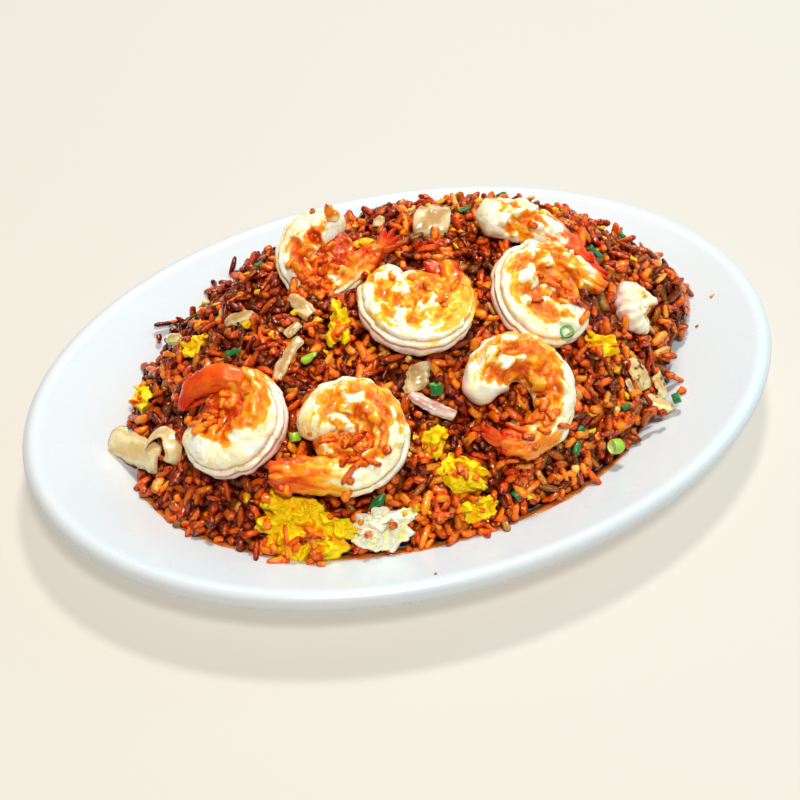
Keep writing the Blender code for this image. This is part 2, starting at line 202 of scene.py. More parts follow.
class Shell:
    """Points with faces of three or four corners, and named numbers for each point."""

    def __init__(self, points, quads, triangles, **marks):
        self.points = np.asarray(points, float)
        self.quads = np.asarray(quads, int).reshape(-1, 4)
        self.triangles = np.asarray(triangles, int).reshape(-1, 3)
        self.marks = {name: np.broadcast_to(value, len(self.points)).astype(float) for name, value in marks.items()}

    def faces(self):
        halves = np.concatenate([self.quads[:, [0, 1, 2]], self.quads[:, [0, 2, 3]]])
        return np.concatenate([halves, self.triangles])

    def facing_out(self):
        """The same shell, turned inside out if it encloses a volume below zero."""
        a, b, c = (self.points[self.faces()[:, i]] for i in range(3))
        if np.einsum("ij,ij->i", a, np.cross(b, c)).sum() < 0:
            self.quads = self.quads[:, ::-1]
            self.triangles = self.triangles[:, ::-1]
        return self

    def normals(self):
        faces = self.faces()
        a, b, c = (self.points[faces[:, i]] for i in range(3))
        across = np.cross(b - a, c - a)
        total = np.zeros_like(self.points)
        for i in range(3):
            np.add.at(total, faces[:, i], across)
        return unit(total)

    def moved(self, matrix):
        array = np.array(matrix)
        self.points = self.points @ array[:3, :3].T + array[:3, 3]
        return self


def join(shells):
    """One shell out of several, which stay separate bodies."""
    starts = np.cumsum([0] + [len(shell.points) for shell in shells])
    names = {name for shell in shells for name in shell.marks}
    marks = {
        name: np.concatenate([shell.marks.get(name, np.zeros(len(shell.points))) for shell in shells])
        for name in names
    }
    return Shell(
        np.concatenate([shell.points for shell in shells]),
        np.concatenate([shell.quads + start for shell, start in zip(shells, starts)]),
        np.concatenate([shell.triangles + start for shell, start in zip(shells, starts)]),
        **marks,
    )


def tube(rings, start=None, end=None, **marks):
    """Closed skin over rings of points, with a point at each end; without one the ring's middle is used."""
    rings = np.asarray(rings, float)
    count, sides = rings.shape[:2]
    tips = [rings[0].mean(0) if start is None else start, rings[-1].mean(0) if end is None else end]
    points = np.concatenate([rings.reshape(-1, 3), np.array(tips, float)])
    quads = ring_quads(count, sides, False)
    ring = np.arange(sides)
    after = (ring + 1) % sides
    first, last = count * sides, count * sides + 1
    caps = np.concatenate([
        np.stack([after, ring, np.full(sides, first)], axis=-1),
        np.stack([ring + (count - 1) * sides, after + (count - 1) * sides, np.full(sides, last)], axis=-1),
    ])
    spread = {}
    for name, value in marks.items():
        grid = np.broadcast_to(value, (count, sides)).astype(float)
        spread[name] = np.concatenate([grid.ravel(), [grid[0].mean(), grid[-1].mean()]])
    return Shell(points, quads, caps, **spread).facing_out()


def ring_quads(count, sides, closed):
    """Faces between neighbouring rings, and from the last ring to the first one if closed."""
    row, column = np.meshgrid(np.arange(count if closed else count - 1), np.arange(sides), indexing="ij")
    beside, above = (column + 1) % sides, (row + 1) % count
    return np.stack([row * sides + column, row * sides + beside, above * sides + beside,
                     above * sides + column], axis=-1).reshape(-1, 4)


def hoop(rings, **marks):
    """Skin over rings of points that run round and meet again."""
    rings = np.asarray(rings, float)
    count, sides = rings.shape[:2]
    spread = {name: np.broadcast_to(value, (count, sides)).ravel() for name, value in marks.items()}
    return Shell(rings.reshape(-1, 3), ring_quads(count, sides, True), [], **spread).facing_out()


def make_piece(name, shell, material, replaces=None, sharp=None):
    """Object from a shell, riding on the dish."""
    mesh = bpy.data.meshes.new(name)
    mesh.vertices.add(len(shell.points))
    mesh.vertices.foreach_set("co", shell.points.astype(np.float32).ravel())
    corners = np.concatenate([shell.quads.ravel(), shell.triangles.ravel()]).astype(np.int32)
    sizes = np.concatenate([np.full(len(shell.quads), 4), np.full(len(shell.triangles), 3)])
    mesh.loops.add(len(corners))
    mesh.loops.foreach_set("vertex_index", corners)
    mesh.polygons.add(len(sizes))
    mesh.polygons.foreach_set("loop_start", (np.cumsum(sizes) - sizes).astype(np.int32))
    mesh.update(calc_edges=True)
    mesh.shade_smooth()
    if sharp is not None:
        mesh.set_sharp_from_angle(angle=math.radians(sharp))
    for mark, values in shell.marks.items():
        layer = mesh.attributes.new(mark, "FLOAT", "POINT")
        layer.data.foreach_set("value", values.astype(np.float32))
    mesh.materials.append(material)
    piece = bpy.data.objects.new(name, mesh)
    bpy.context.scene.collection.objects.link(piece)
    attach(piece, "root")
    if replaces:
        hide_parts(replaces)
    return piece


# ---------------------------------------------------------------- finishes

SAUCE_TINT = (1.0, 0.50, 0.26, 1.0)      # reflections seen through a film of chilli oil


class Wire:
    """A value in a finish; arithmetic on it adds Math nodes."""

    def __init__(self, finish, socket):
        self.finish = finish
        self.socket = socket

    def _math(self, operation, first, second):
        return self.finish.node("ShaderNodeMath", {"operation": operation}, {0: first, 1: second})

    def __add__(self, other):
        return self._math("ADD", self, other)

    __radd__ = __add__

    def __mul__(self, other):
        return self._math("MULTIPLY", self, other)

    __rmul__ = __mul__

    def __sub__(self, other):
        return self._math("SUBTRACT", self, other)

    def __rsub__(self, other):
        return self._math("SUBTRACT", other, self)

    def __pow__(self, other):
        return self._math("POWER", self, other)


class Finish:
    """A material whose shader is fed by wires."""

    def __init__(self, name, **fixed):
        self.material = bpy.data.materials.new(name)
        self.material.use_nodes = True
        self.tree = self.material.node_tree
        self.shader = self.tree.nodes["Principled BSDF"]
        for socket, value in fixed.items():
            self.shader.inputs[socket.replace("_", " ").title().replace("Ior", "IOR")].default_value = value
        self.place = self.node("ShaderNodeTexCoord", {}, {}, "Object")

    def node(self, kind, settings, sockets, output=0):
        node = self.tree.nodes.new(kind)
        for name, value in settings.items():
            if name == "stops":
                ramp = node.color_ramp
                while len(ramp.elements) < len(value):
                    ramp.elements.new(0.5)
                for element, (position, colour) in zip(ramp.elements, value):
                    element.position = position
                    element.color = colour
            else:
                setattr(node, name, value)
        for name, value in sockets.items():
            if isinstance(value, Wire):
                self.tree.links.new(value.socket, node.inputs[name])
            else:
                node.inputs[name].default_value = value
        return Wire(self, node.outputs[output])

    def mark(self, name):
        """The numbers that the mesh holds under a name."""
        return self.node("ShaderNodeAttribute", {"attribute_name": name}, {}, "Fac")

    def noise(self, size, detail=2.0, roughness=0.5, stretch=None, distortion=0.0):
        place = self.place
        if stretch:
            place = self.node("ShaderNodeVectorMath", {"operation": "MULTIPLY"}, {0: place, 1: stretch})
        return self.node("ShaderNodeTexNoise", {}, {
            "Vector": place, "Scale": 1 / size, "Detail": detail,
            "Roughness": roughness, "Distortion": distortion,
        })

    def cells(self, size, feature="F1"):
        return self.node("ShaderNodeTexVoronoi", {"feature": feature}, {"Vector": self.place, "Scale": 1 / size})

    def step(self, value, low, high):
        """0 below low, 1 above high, smooth between."""
        return self.node("ShaderNodeMapRange", {"interpolation_type": "SMOOTHSTEP"}, {
            "Value": value, "From Min": low, "From Max": high,
        })

    def blend(self, share, first, second):
        return self.node("ShaderNodeMix", {"data_type": "RGBA"}, {0: share, 6: first, 7: second}, 2)

    def ramp(self, value, *stops):
        return self.node("ShaderNodeValToRGB", {"stops": stops}, {0: value})

    def feed(self, **wires):
        for socket, wire in wires.items():
            self.tree.links.new(wire.socket, self.shader.inputs[socket.replace("_", " ").title()])
        return self

    def bump(self, height, distance, strength=1.0):
        """Fine relief that light shows, from a height of 0 to 1 over the distance."""
        wire = self.node("ShaderNodeBump", {}, {"Strength": strength, "Distance": distance, "Height": height})
        self.tree.links.new(wire.socket, self.shader.inputs["Normal"])
        return self


def glaze_finish():
    """White vitrified glaze with a faint orange-peel and a few pin specks."""
    finish = Finish("white_glaze", coat_weight=0.25, coat_roughness=0.08, specular_ior_level=0.5)
    drift = finish.noise(60 * MM, 2)
    speck = finish.step(finish.cells(5 * MM), 0.045, 0.02)
    kept = finish.step(finish.noise(9 * MM, 1), 0.62, 0.66)
    white = finish.blend(drift, srgb(212, 222, 228), srgb(220, 221, 219))
    finish.feed(
        base_color=finish.blend(speck * kept * 0.5, white, srgb(150, 130, 110)),
        roughness=finish.noise(25 * MM, 3) * 0.12 + 0.22,
    )
    return finish.bump(finish.noise(7 * MM, 2), 0.05 * MM).material


def core_finish():
    """Pressed rice deep in the heap: wet and knobbly, coloured darker than the loose grains as painted shade where it
    shows between them.
    """
    finish = Finish("rice_core", coat_weight=0.1, coat_roughness=0.2, specular_tint=SAUCE_TINT)
    grain = finish.noise(2.6 * MM, 3, 0.6)
    finish.feed(
        # near-black to dark red: painted shade for the gaps between the grains
        base_color=finish.ramp(grain, (0.3, srgb(44, 4, 1)), (0.55, srgb(104, 16, 3)), (0.8, srgb(160, 50, 10))),
        roughness=grain * 0.3 + 0.25,
    )
    return finish.bump(finish.noise(1.6 * MM, 3), 0.6 * MM).material


def grain_finish(name, deep, body, light):
    """Rice grain dyed by soy and chilli sauce; each grain has its own tint and a wet coat, with painted light on its
    top and painted shade when it lies deep in the heap.
    """
    finish = Finish(name, coat_roughness=0.03, coat_ior=1.7,
                    specular_ior_level=1.0, specular_tint=SAUCE_TINT)
    mottle = finish.noise(1.1 * MM, 3, 0.65)
    # a grain's top is pushed towards the light colour: painted light
    value = finish.mark("tint") * 0.46 + (mottle - 0.5) * 1.1 + finish.mark("belly") * 0.46 + 0.06
    colour = finish.ramp(value, (0.12, deep), (0.46, body), (0.82, light))
    # painted shade: grains that lie deep are blended towards near-black maroon and lose their wet coat
    shade = finish.blend(finish.mark("buried"), colour, srgb(56, 1, 1))
    finish.feed(
        base_color=shade,
        roughness=mottle * 0.16 + 0.01,
        coat_weight=finish.step(finish.noise(1.5 * MM, 2, 0.6), 0.55, 0.60) * (1 - finish.mark("buried")),
    )
    return finish.bump(finish.noise(1.0 * MM, 2, 0.6), 0.5 * MM, 1.0).material


def shrimp_finish(name, glaze, red, tail_red=0.0):
    """Peeled cooked shrimp: cream flesh, pink rim, orange wok glaze in the hollows, orange-red tail."""
    finish = Finish(name, coat_roughness=0.05, subsurface_weight=0.30, subsurface_radius=(1.0, 0.7, 0.4),
                    subsurface_scale=2 * MM, specular_tint=(1.0, 0.8, 0.5, 1.0))
    wander = finish.noise(6 * MM, 4, 0.6)
    fine = finish.noise(1.5 * MM, 3, 0.6)
    toast = finish.noise(4.5 * MM, 4, 0.7, distortion=1.2)
    streak = finish.mark("streak")
    flesh = finish.blend(finish.step(wander, 0.35, 0.62), srgb(255, 255, 238), srgb(255, 244, 194))
    toasted = finish.blend(finish.step(toast + streak * 0.3 + finish.mark("hollow") * 0.06, 0.55, 0.75) * 0.6,
                           flesh, srgb(253, 206, 104))
    rim = finish.blend(finish.step(finish.mark("rim") + (wander - 0.5) * 1.0, 0.45, 1.1),
                       toasted, srgb(254, 222, 208))
    hollow = finish.mark("hollow")
    inner = (finish.mark("inner") * (hollow * 0.44 + (glaze * 0.9 - 0.15)) + streak * 0.5
             + (wander - 0.5) * 0.6 + (toast - 0.5) * 0.5 + (fine - 0.5) * 0.2 - 0.04)
    sauce = finish.ramp(inner, (0.30, srgb(255, 228 - 36 * red, 92 - 30 * red)),
                        (0.46, srgb(255, 192 - 50 * red, 26)),
                        (0.70, srgb(248 - 10 * red, 142 - 48 * red, 8)),
                        (0.95, srgb(218 - 26 * red, 80 - 28 * red, 4)))
    glazed = finish.blend(finish.step(inner, 0.26, 0.40), rim, sauce)
    seamed = finish.blend(finish.step(finish.mark("seam") + (fine - 0.5) * 0.8, 0.45, 0.95) * 0.7,
                          glazed, srgb(214, 120, 40))
    tail_value = finish.mark("tail") + (wander - 0.5) * 0.6 + streak * 0.4
    tail = finish.ramp(tail_value, (0.2, srgb(254, 212 - 90 * tail_red, 76 - 40 * tail_red)),
                       (0.5, srgb(252 - 8 * tail_red, 170 - 84 * tail_red, 28)),
                       (0.8, srgb(242 - 10 * tail_red, 110 - 50 * tail_red, 12)), (1.0, srgb(212, 44, 8)))
    tailed = finish.blend(finish.step(tail_value, 0.12, 0.4), seamed, tail)
    pepper = finish.step(finish.cells(2.6 * MM), 0.13, 0.07) * finish.step(finish.noise(6 * MM, 1), 0.5, 0.6)
    finish.feed(
        base_color=finish.blend(pepper * 0.8, tailed, srgb(80, 46, 20)),
        roughness=fine * 0.3 + 0.14,
        coat_weight=finish.step(finish.noise(3 * MM, 2, 0.6), 0.50, 0.60) * 0.7,
    )
    height = fine * 0.5 + finish.noise(3 * MM, 3) * 0.5
    return finish.bump(height, 0.6 * MM, 0.8).material


def egg_finish(name, light, body, deep):
    """Scrambled egg: matt curd, painted a deeper orange in its hollows as shade."""
    finish = Finish(name, coat_weight=0.15, coat_roughness=0.2, specular_tint=(1.0, 0.8, 0.3, 1.0))
    # painted shade: the hollows push the colour towards the deep orange, on top of random tone
    wander = finish.noise(4.5 * MM, 3, 0.6) + finish.mark("hollow") * 0.22
    curd = finish.noise(1.1 * MM, 3, 0.6)
    finish.feed(
        base_color=finish.ramp(wander * 0.8 + curd * 0.3, (0.34, light), (0.60, body), (0.90, deep)),
        roughness=curd * 0.3 + 0.3,
    )
    return finish.bump(curd, 0.6 * MM, 0.9).material


def onion_finish(name, pale, body, char=0.0):
    """Softened onion: translucent, with lengthwise lines and browned edges."""
    finish = Finish(name, coat_weight=0.5, coat_roughness=0.12, subsurface_weight=0.15,
                    subsurface_scale=1.5 * MM)
    lines = finish.mark("lines")
    fine = finish.noise(1.6 * MM, 3, 0.6)
    flesh = finish.blend(finish.step(lines * 0.45 + finish.noise(4 * MM, 3, 0.65), 0.42, 0.95), pale, body)
    edged = finish.blend(finish.step(finish.mark("edge") + (fine - 0.5) * 0.8, 0.4, 1.0) * 0.8, flesh,
                         srgb(190, 116, 48))
    burn = finish.step(finish.noise(5 * MM, 3, 0.6), 0.55, 0.62) * char
    finish.feed(base_color=finish.blend(burn, edged, srgb(96, 38, 10)), roughness=fine * 0.2 + 0.15)
    return finish.bump(lines * 0.4 + fine * 0.6, 0.16 * MM, 0.6).material


def scallion_finish(name, pale, deep):
    finish = Finish(name, coat_weight=0.5, coat_roughness=0.1)
    fibre = finish.noise(1.0 * MM, 4, 0.7)
    finish.feed(
        base_color=finish.blend(finish.step(finish.mark("rind") + (fibre - 0.5) * 0.5, 0.2, 0.8), pale, deep),
        roughness=fibre * 0.2 + 0.2,
    )
    return finish.bump(fibre, 0.4 * MM, 0.9).material


def sauce_finish():
    """Thin chilli oil that has run out along the edge of the rice."""
    finish = Finish("edge_oil", coat_weight=1.0, coat_roughness=0.05)
    run = finish.noise(6 * MM, 3, 0.6)
    finish.feed(
        base_color=finish.ramp(run, (0.3, srgb(196, 84, 20)), (0.6, srgb(232, 140, 62)), (0.85, srgb(246, 190, 130))),
        roughness=run * 0.1 + 0.06,
    )
    return finish.bump(run, 0.2 * MM, 0.5).material


def floor_finish():
    """Matt pale table."""
    finish = Finish("pale_table", specular_ior_level=0.0, emission_color=srgb(246, 238, 224), emission_strength=0.47)
    tone = finish.noise(400 * MM, 1)
    finish.feed(
        base_color=finish.blend(tone, srgb(161, 157, 149), srgb(163, 159, 151)),
        roughness=tone * 0.05 + 0.9,
    )
    return finish.material


# ---------------------------------------------------------------- platter

def oval_ring(inset, height, sides=MERIDIANS):
    angle = np.arange(sides) * (math.tau / sides)
    return np.stack([
        (HALF_LENGTH - inset) * np.cos(angle),
        (HALF_WIDTH - inset * SIDE_SHARE) * np.sin(angle),
        np.full(sides, height),
    ], axis=-1)


def make_platter():
    lip_centre = PLATTER_HEIGHT - LIP_RADIUS
    floor = [oval_ring(inset, FLOOR_HEIGHT) for inset in (100 * MM, 90 * MM, 78 * MM, 68 * MM)]
    inside = [oval_ring(inset, height) for inset, height in zip(DISH_INSETS[::-3], DISH_HEIGHTS[::-3])]
    lip = []
    for degrees in range(96, -91, -12):
        turn = math.radians(min(degrees, 90))
        lip.append(oval_ring(LIP_RADIUS * (1 - math.cos(turn)), lip_centre + LIP_RADIUS * math.sin(turn)))
    under = lip_centre - LIP_RADIUS
    foot_out = FOOT_INSET + FOOT_WIDTH
    slope_end = SHOULDER_HEIGHT - WALL * 1.1
    below = [oval_ring(LIP_RADIUS * 1.6, under + 0.1 * MM), oval_ring(LIP_RADIUS * 2.2, under + 0.4 * MM)]
    for share in np.linspace(0.1, 1, 10):
        inset = LIP_RADIUS * 2.2 + (SHOULDER_INSET - LIP_RADIUS * 2.2) * share
        below.append(oval_ring(inset, under + 0.4 * MM + (slope_end - under - 0.4 * MM) * share))
    well_end = FLOOR_HEIGHT - WALL * 0.5
    for share in np.linspace(0.1, 1, 10):
        inset = SHOULDER_INSET + (FLOOR_INSET - 7 * MM - SHOULDER_INSET) * share
        below.append(oval_ring(inset, slope_end + (well_end - slope_end) * smooth(share, -0.35, 1.35)))
    foot = [
        oval_ring(FOOT_INSET - 1.5 * MM, FOOT_HEIGHT), oval_ring(FOOT_INSET - 0.4 * MM, 0.4 * MM),
        oval_ring(FOOT_INSET, 0.0), oval_ring(foot_out, 0.0),
        oval_ring(foot_out + 0.4 * MM, 0.4 * MM), oval_ring(foot_out + 1.5 * MM, FOOT_HEIGHT),
        oval_ring(80 * MM, FOOT_HEIGHT),
    ]
    shell = tube(floor + inside + lip[1:] + below + foot, (0, 0, FLOOR_HEIGHT), (0, 0, FOOT_HEIGHT))
    make_piece("platter_glazed", shell, glaze_finish(), "platter", sharp=50)


# ---------------------------------------------------------------- shrimp

# name: x, y, rise, lean, head direction, hand, radius of the curl, spiral, degrees of curl, straight
# tail, half girth, tail girth as a share of it, tail fan (millimetres and degrees, as in the CAD model)
SHRIMP = {
    "shrimp_front_left": (-75, -17.5, 5.0, 0.0, 158, 1, 12.4, 0.15, 278, 9, 10.2, 0.5, True),
    "shrimp_front_middle": (-40.5, -42, 4.0, 0.0, 172, -1, 12.8, 0.3, 285, 28, 8.9, 0.74, False),
    "shrimp_middle": (0, -9, 5.5, 0.0, 90, 1, 13.9, 0.2, 270, 13, 9.3, 0.52, True),
    "shrimp_back_left": (-20.5, 31.5, 6.0, 0.8, 33, 1, 11.5, 0.1, 260, 19, 7.8, 0.5, True),
    "shrimp_front_right": (21.5, -46.5, 4.0, 0.0, 182, -1, 14.8, 0.6, 300, 4, 9.5, 0.5, True),
    "shrimp_back_right": (48, -15, 6.0, 0.2, -30, -1, 13.4, 0.3, 286, 20, 8.8, 0.5, False),
    "shrimp_far_back": (56, 10.5, 4.0, 0.45, 78, -1, 50.0, 0.0, 48, 8, 8.2, 0.5, True),
    "shrimp_far_right": (92, -16.5, 2.0, 0.0, 120, 1, 11.0, 0.0, 100, 1, 8.6, 0.5, False),
}
# name: how far the inside fills the curl; glaze: x, y and reach in the seat's plane, strength;
# redness; share of the length that is tail; fan: turn, spread, fins and length; seed
SHRIMP_LOOK = {
    "shrimp_front_left": (1.15, (2, 6, 16.5, 0.88), 0.6, 0.34, (16, 12, 2, 14), 1),
    "shrimp_front_middle": (1.15, (5, 2, 16.0, 0.58), 0.45, 0.36, (0, 0, 0, 0), 2),
    "shrimp_middle": (1.15, (1, 2, 20.0, 0.52), 0.15, 0.38, (58, 14, 3, 9), 3),
    "shrimp_back_left": (1.25, (-1, -1, 12.5, 0.84), 0.9, 0.28, (0, 30, 4, 12), 4),
    "shrimp_front_right": (1.0, (2, 3, 19.0, 0.56), 0.4, 0.32, (28, 12, 3, 11), 5),
    "shrimp_back_right": (1.15, (2, 3, 18.0, 0.54), 0.4, 0.10, (0, 0, 0, 0), 6),
    "shrimp_far_back": (1.0, (-2, 9, 10.0, 0.40), 0.2, 0.44, (0, 14, 3, 12), 7),
    "shrimp_far_right": (1.0, (0, 0, 6.0, 0.2), 0.4, 0.02, (0, 0, 0, 0), 8),
}
TAIL_RED = {"shrimp_far_back": 0.9, "shrimp_front_left": 0.3, "shrimp_back_left": 0.3, "shrimp_front_right": 0.2}
CLOSED_CURL = 180
SHRIMP_STATIONS = 110
BODY_FLATNESS = 0.8
SEAM_TURNS = (0.14, 0.60)   # where the slit back folds, in radians up from the outer side
SEGMENTS = 6.5


def section_turns():
    """Angles round a section, closest on the upper side: 0 is outward and a quarter turn is up."""
    upper = np.linspace(-0.45, math.pi + 0.35, 50)
    lower = np.linspace(math.pi + 0.35, math.tau - 0.45, 14)[1:-1]
    return np.concatenate([upper, lower])


def shrimp_spine(place):
    """Stations along the spine in the seat's plane: points, headings and share of the length."""
    head, hand, radius, spiral, curl, tail = place[4:10]
    share = np.linspace(0, 1, 240)
    angle = np.radians(head + hand * curl * share)
    reach = radius * MM * (1 + spiral * (share - 0.5))
    arc = np.stack([np.cos(angle) * reach, np.sin(angle) * reach, np.zeros_like(share)], axis=-1)
    away = unit(arc[-1] - arc[-2])
    straight = arc[-1] + away * np.linspace(0, tail * MM, 40)[1:, None]
    points = np.concatenate([arc, straight])
    runs = np.concatenate([[0], np.cumsum(np.linalg.norm(np.diff(points, axis=0), axis=1))])
    stations = np.linspace(0, 1, SHRIMP_STATIONS)
    spine = np.stack([np.interp(stations * runs[-1], runs, points[:, i]) for i in range(3)], axis=-1)
    heading = unit(np.gradient(spine, axis=0))
    middle = np.zeros(3) if curl >= CLOSED_CURL else (spine[0] + spine[-1]) / 2
    return spine, heading, stations, middle, runs[-1]


def fin_blade(root, heading, length, width, thickness, lift):
    """A leaf-shaped tail fin with a rib along its middle."""
    heading = unit(np.asarray(heading, float))
    side = np.cross([0, 0, 1], heading)
    rings = []
    for share in np.linspace(0.02, 0.98, 9):
        half = width / 2 * (math.sin(math.pi * share ** 0.75) ** 0.7 * 0.8 + 0.2 * (1 - share))
        centre = root + heading * length * share + np.array([0, 0, lift * share ** 1.5])
        turns = np.arange(12) * (math.tau / 12)
        rib = 1 + 1.2 * np.exp(-(np.cos(turns) / 0.35) ** 2)
        rings.append(centre + side * (half * np.cos(turns))[:, None]
                     + np.array([0, 0, 1]) * (thickness / 2 * np.sin(turns) * rib)[:, None])
    redness = np.linspace(0.75, 1.05, 9)[:, None]
    return tube(rings, root, root + heading * length + np.array([0, 0, lift]), tail=redness)


# shell that stands off a body: x, y and z in the seat's plane and radius, then redness at the ends
HORNS = {
    "shrimp_front_left": [(
        ((10.5, 9.0, 3.0, 3.4), (7.0, 13.0, 4.6, 4.6), (1.5, 15.6, 5.4, 4.9), (-4.5, 16.6, 5.4, 4.4),
         (-9.5, 15.8, 5.0, 3.4), (-13.5, 14.0, 4.2, 2.2), (-16.5, 11.2, 3.4, 0.9)), (0.72, 1.05),
    )],
    "shrimp_back_left": [(
        ((9.0, 11.5, 5.0, 2.4), (8.6, 13.0, 8.0, 1.8), (8.4, 14.0, 11.0, 1.2), (8.6, 15.0, 15.0, 0.4)), (0.3, 0.6),
    )],
}


def horn_shell(knots, redness):
    knots = np.array(knots)
    steps = np.linspace(0, len(knots) - 1, 34)
    path = np.stack([np.interp(steps, np.arange(len(knots)), knots[:, i]) for i in range(4)], axis=-1)
    path = np.stack([np.convolve(np.pad(path[:, i], 3, mode="edge"), np.full(7, 1 / 7), "valid") for i in range(4)],
                    axis=-1) * MM
    heading = unit(np.gradient(path[:, :3], axis=0))
    side = unit(np.cross([0.05, 0, 1], heading))
    up = np.cross(heading, side)
    turns = np.arange(20) * (math.tau / 20)
    fluting = 1 + 0.07 * np.cos(turns * 5)
    rings = (path[:, None, :3]
             + side[:, None] * (path[:, 3:4] * (np.cos(turns) * fluting))[..., None]
             + up[:, None] * (path[:, 3:4] * (np.sin(turns) * fluting) * 0.8)[..., None])
    shell = tube(rings, tail=np.linspace(redness[0], redness[1], len(path))[:, None])
    shell.points = shell.points + shell.normals() * (folds(shell.points, 3.5 * MM, 3) * 0.7 * MM)[:, None]
    return shell


def lobes(points, seed):
    """1 on the rounded lobes of flesh and 0 in the hollows between them."""
    return smooth(lumps(points, 5.6 * MM, seed) + 0.25 * lumps(points, 2.8 * MM, seed + 1), 0.02, 0.24)


def inner_flesh(radius, top, seed):
    """The crumpled flesh that fills the middle of a curl."""
    rays, rounds = 80, 24
    angle = np.arange(rays) * (math.tau / rays)
    shares = np.linspace(0.04, 1, rounds)
    flat = np.stack([
        shares[:, None] * np.cos(angle) * radius, shares[:, None] * np.sin(angle) * radius,
        np.zeros((rounds, rays)),
    ], axis=-1)
    points = flat.reshape(-1, 3)
    warp = np.stack([lumps(points, 6 * MM, seed), lumps(points, 6 * MM, seed + 2), np.zeros(len(points))], axis=-1)
    warped = points + warp * 2.5 * MM
    lobe = lobes(warped, seed + 4).reshape(rounds, rays)
    wrinkle = lobe.ravel() * 2.4 + folds(warped, 3.0 * MM, seed + 6) * 1.0
    swell = lumps(points, 7 * MM, seed + 8) * 1.6
    dome = np.sqrt(np.clip(1 - shares ** 4, 0.0, 1))[:, None]
    upper, lower = flat.copy(), flat.copy()
    wrinkle = wrinkle.reshape(rounds, rays)
    upper[..., 2] = dome * (top + (wrinkle + swell.reshape(rounds, rays) - 1.5) * MM)
    lower[..., 2] = -dome * top * 0.6
    rings = np.concatenate([lower[:-1], upper[::-1]])
    hollow = 1 - lobe
    along = np.stack(np.broadcast_arrays(np.cos(angle) * 1.4, np.sin(angle) * 1.4, shares[:, None] * 6), axis=-1)
    streak = lumps(along.reshape(-1, 3), 0.8, seed + 12).reshape(rounds, rays)
    return tube(rings, inner=1.0, hollow=np.concatenate([hollow[:-1], hollow[::-1]]),
                streak=np.concatenate([streak[:-1], streak[::-1]]))


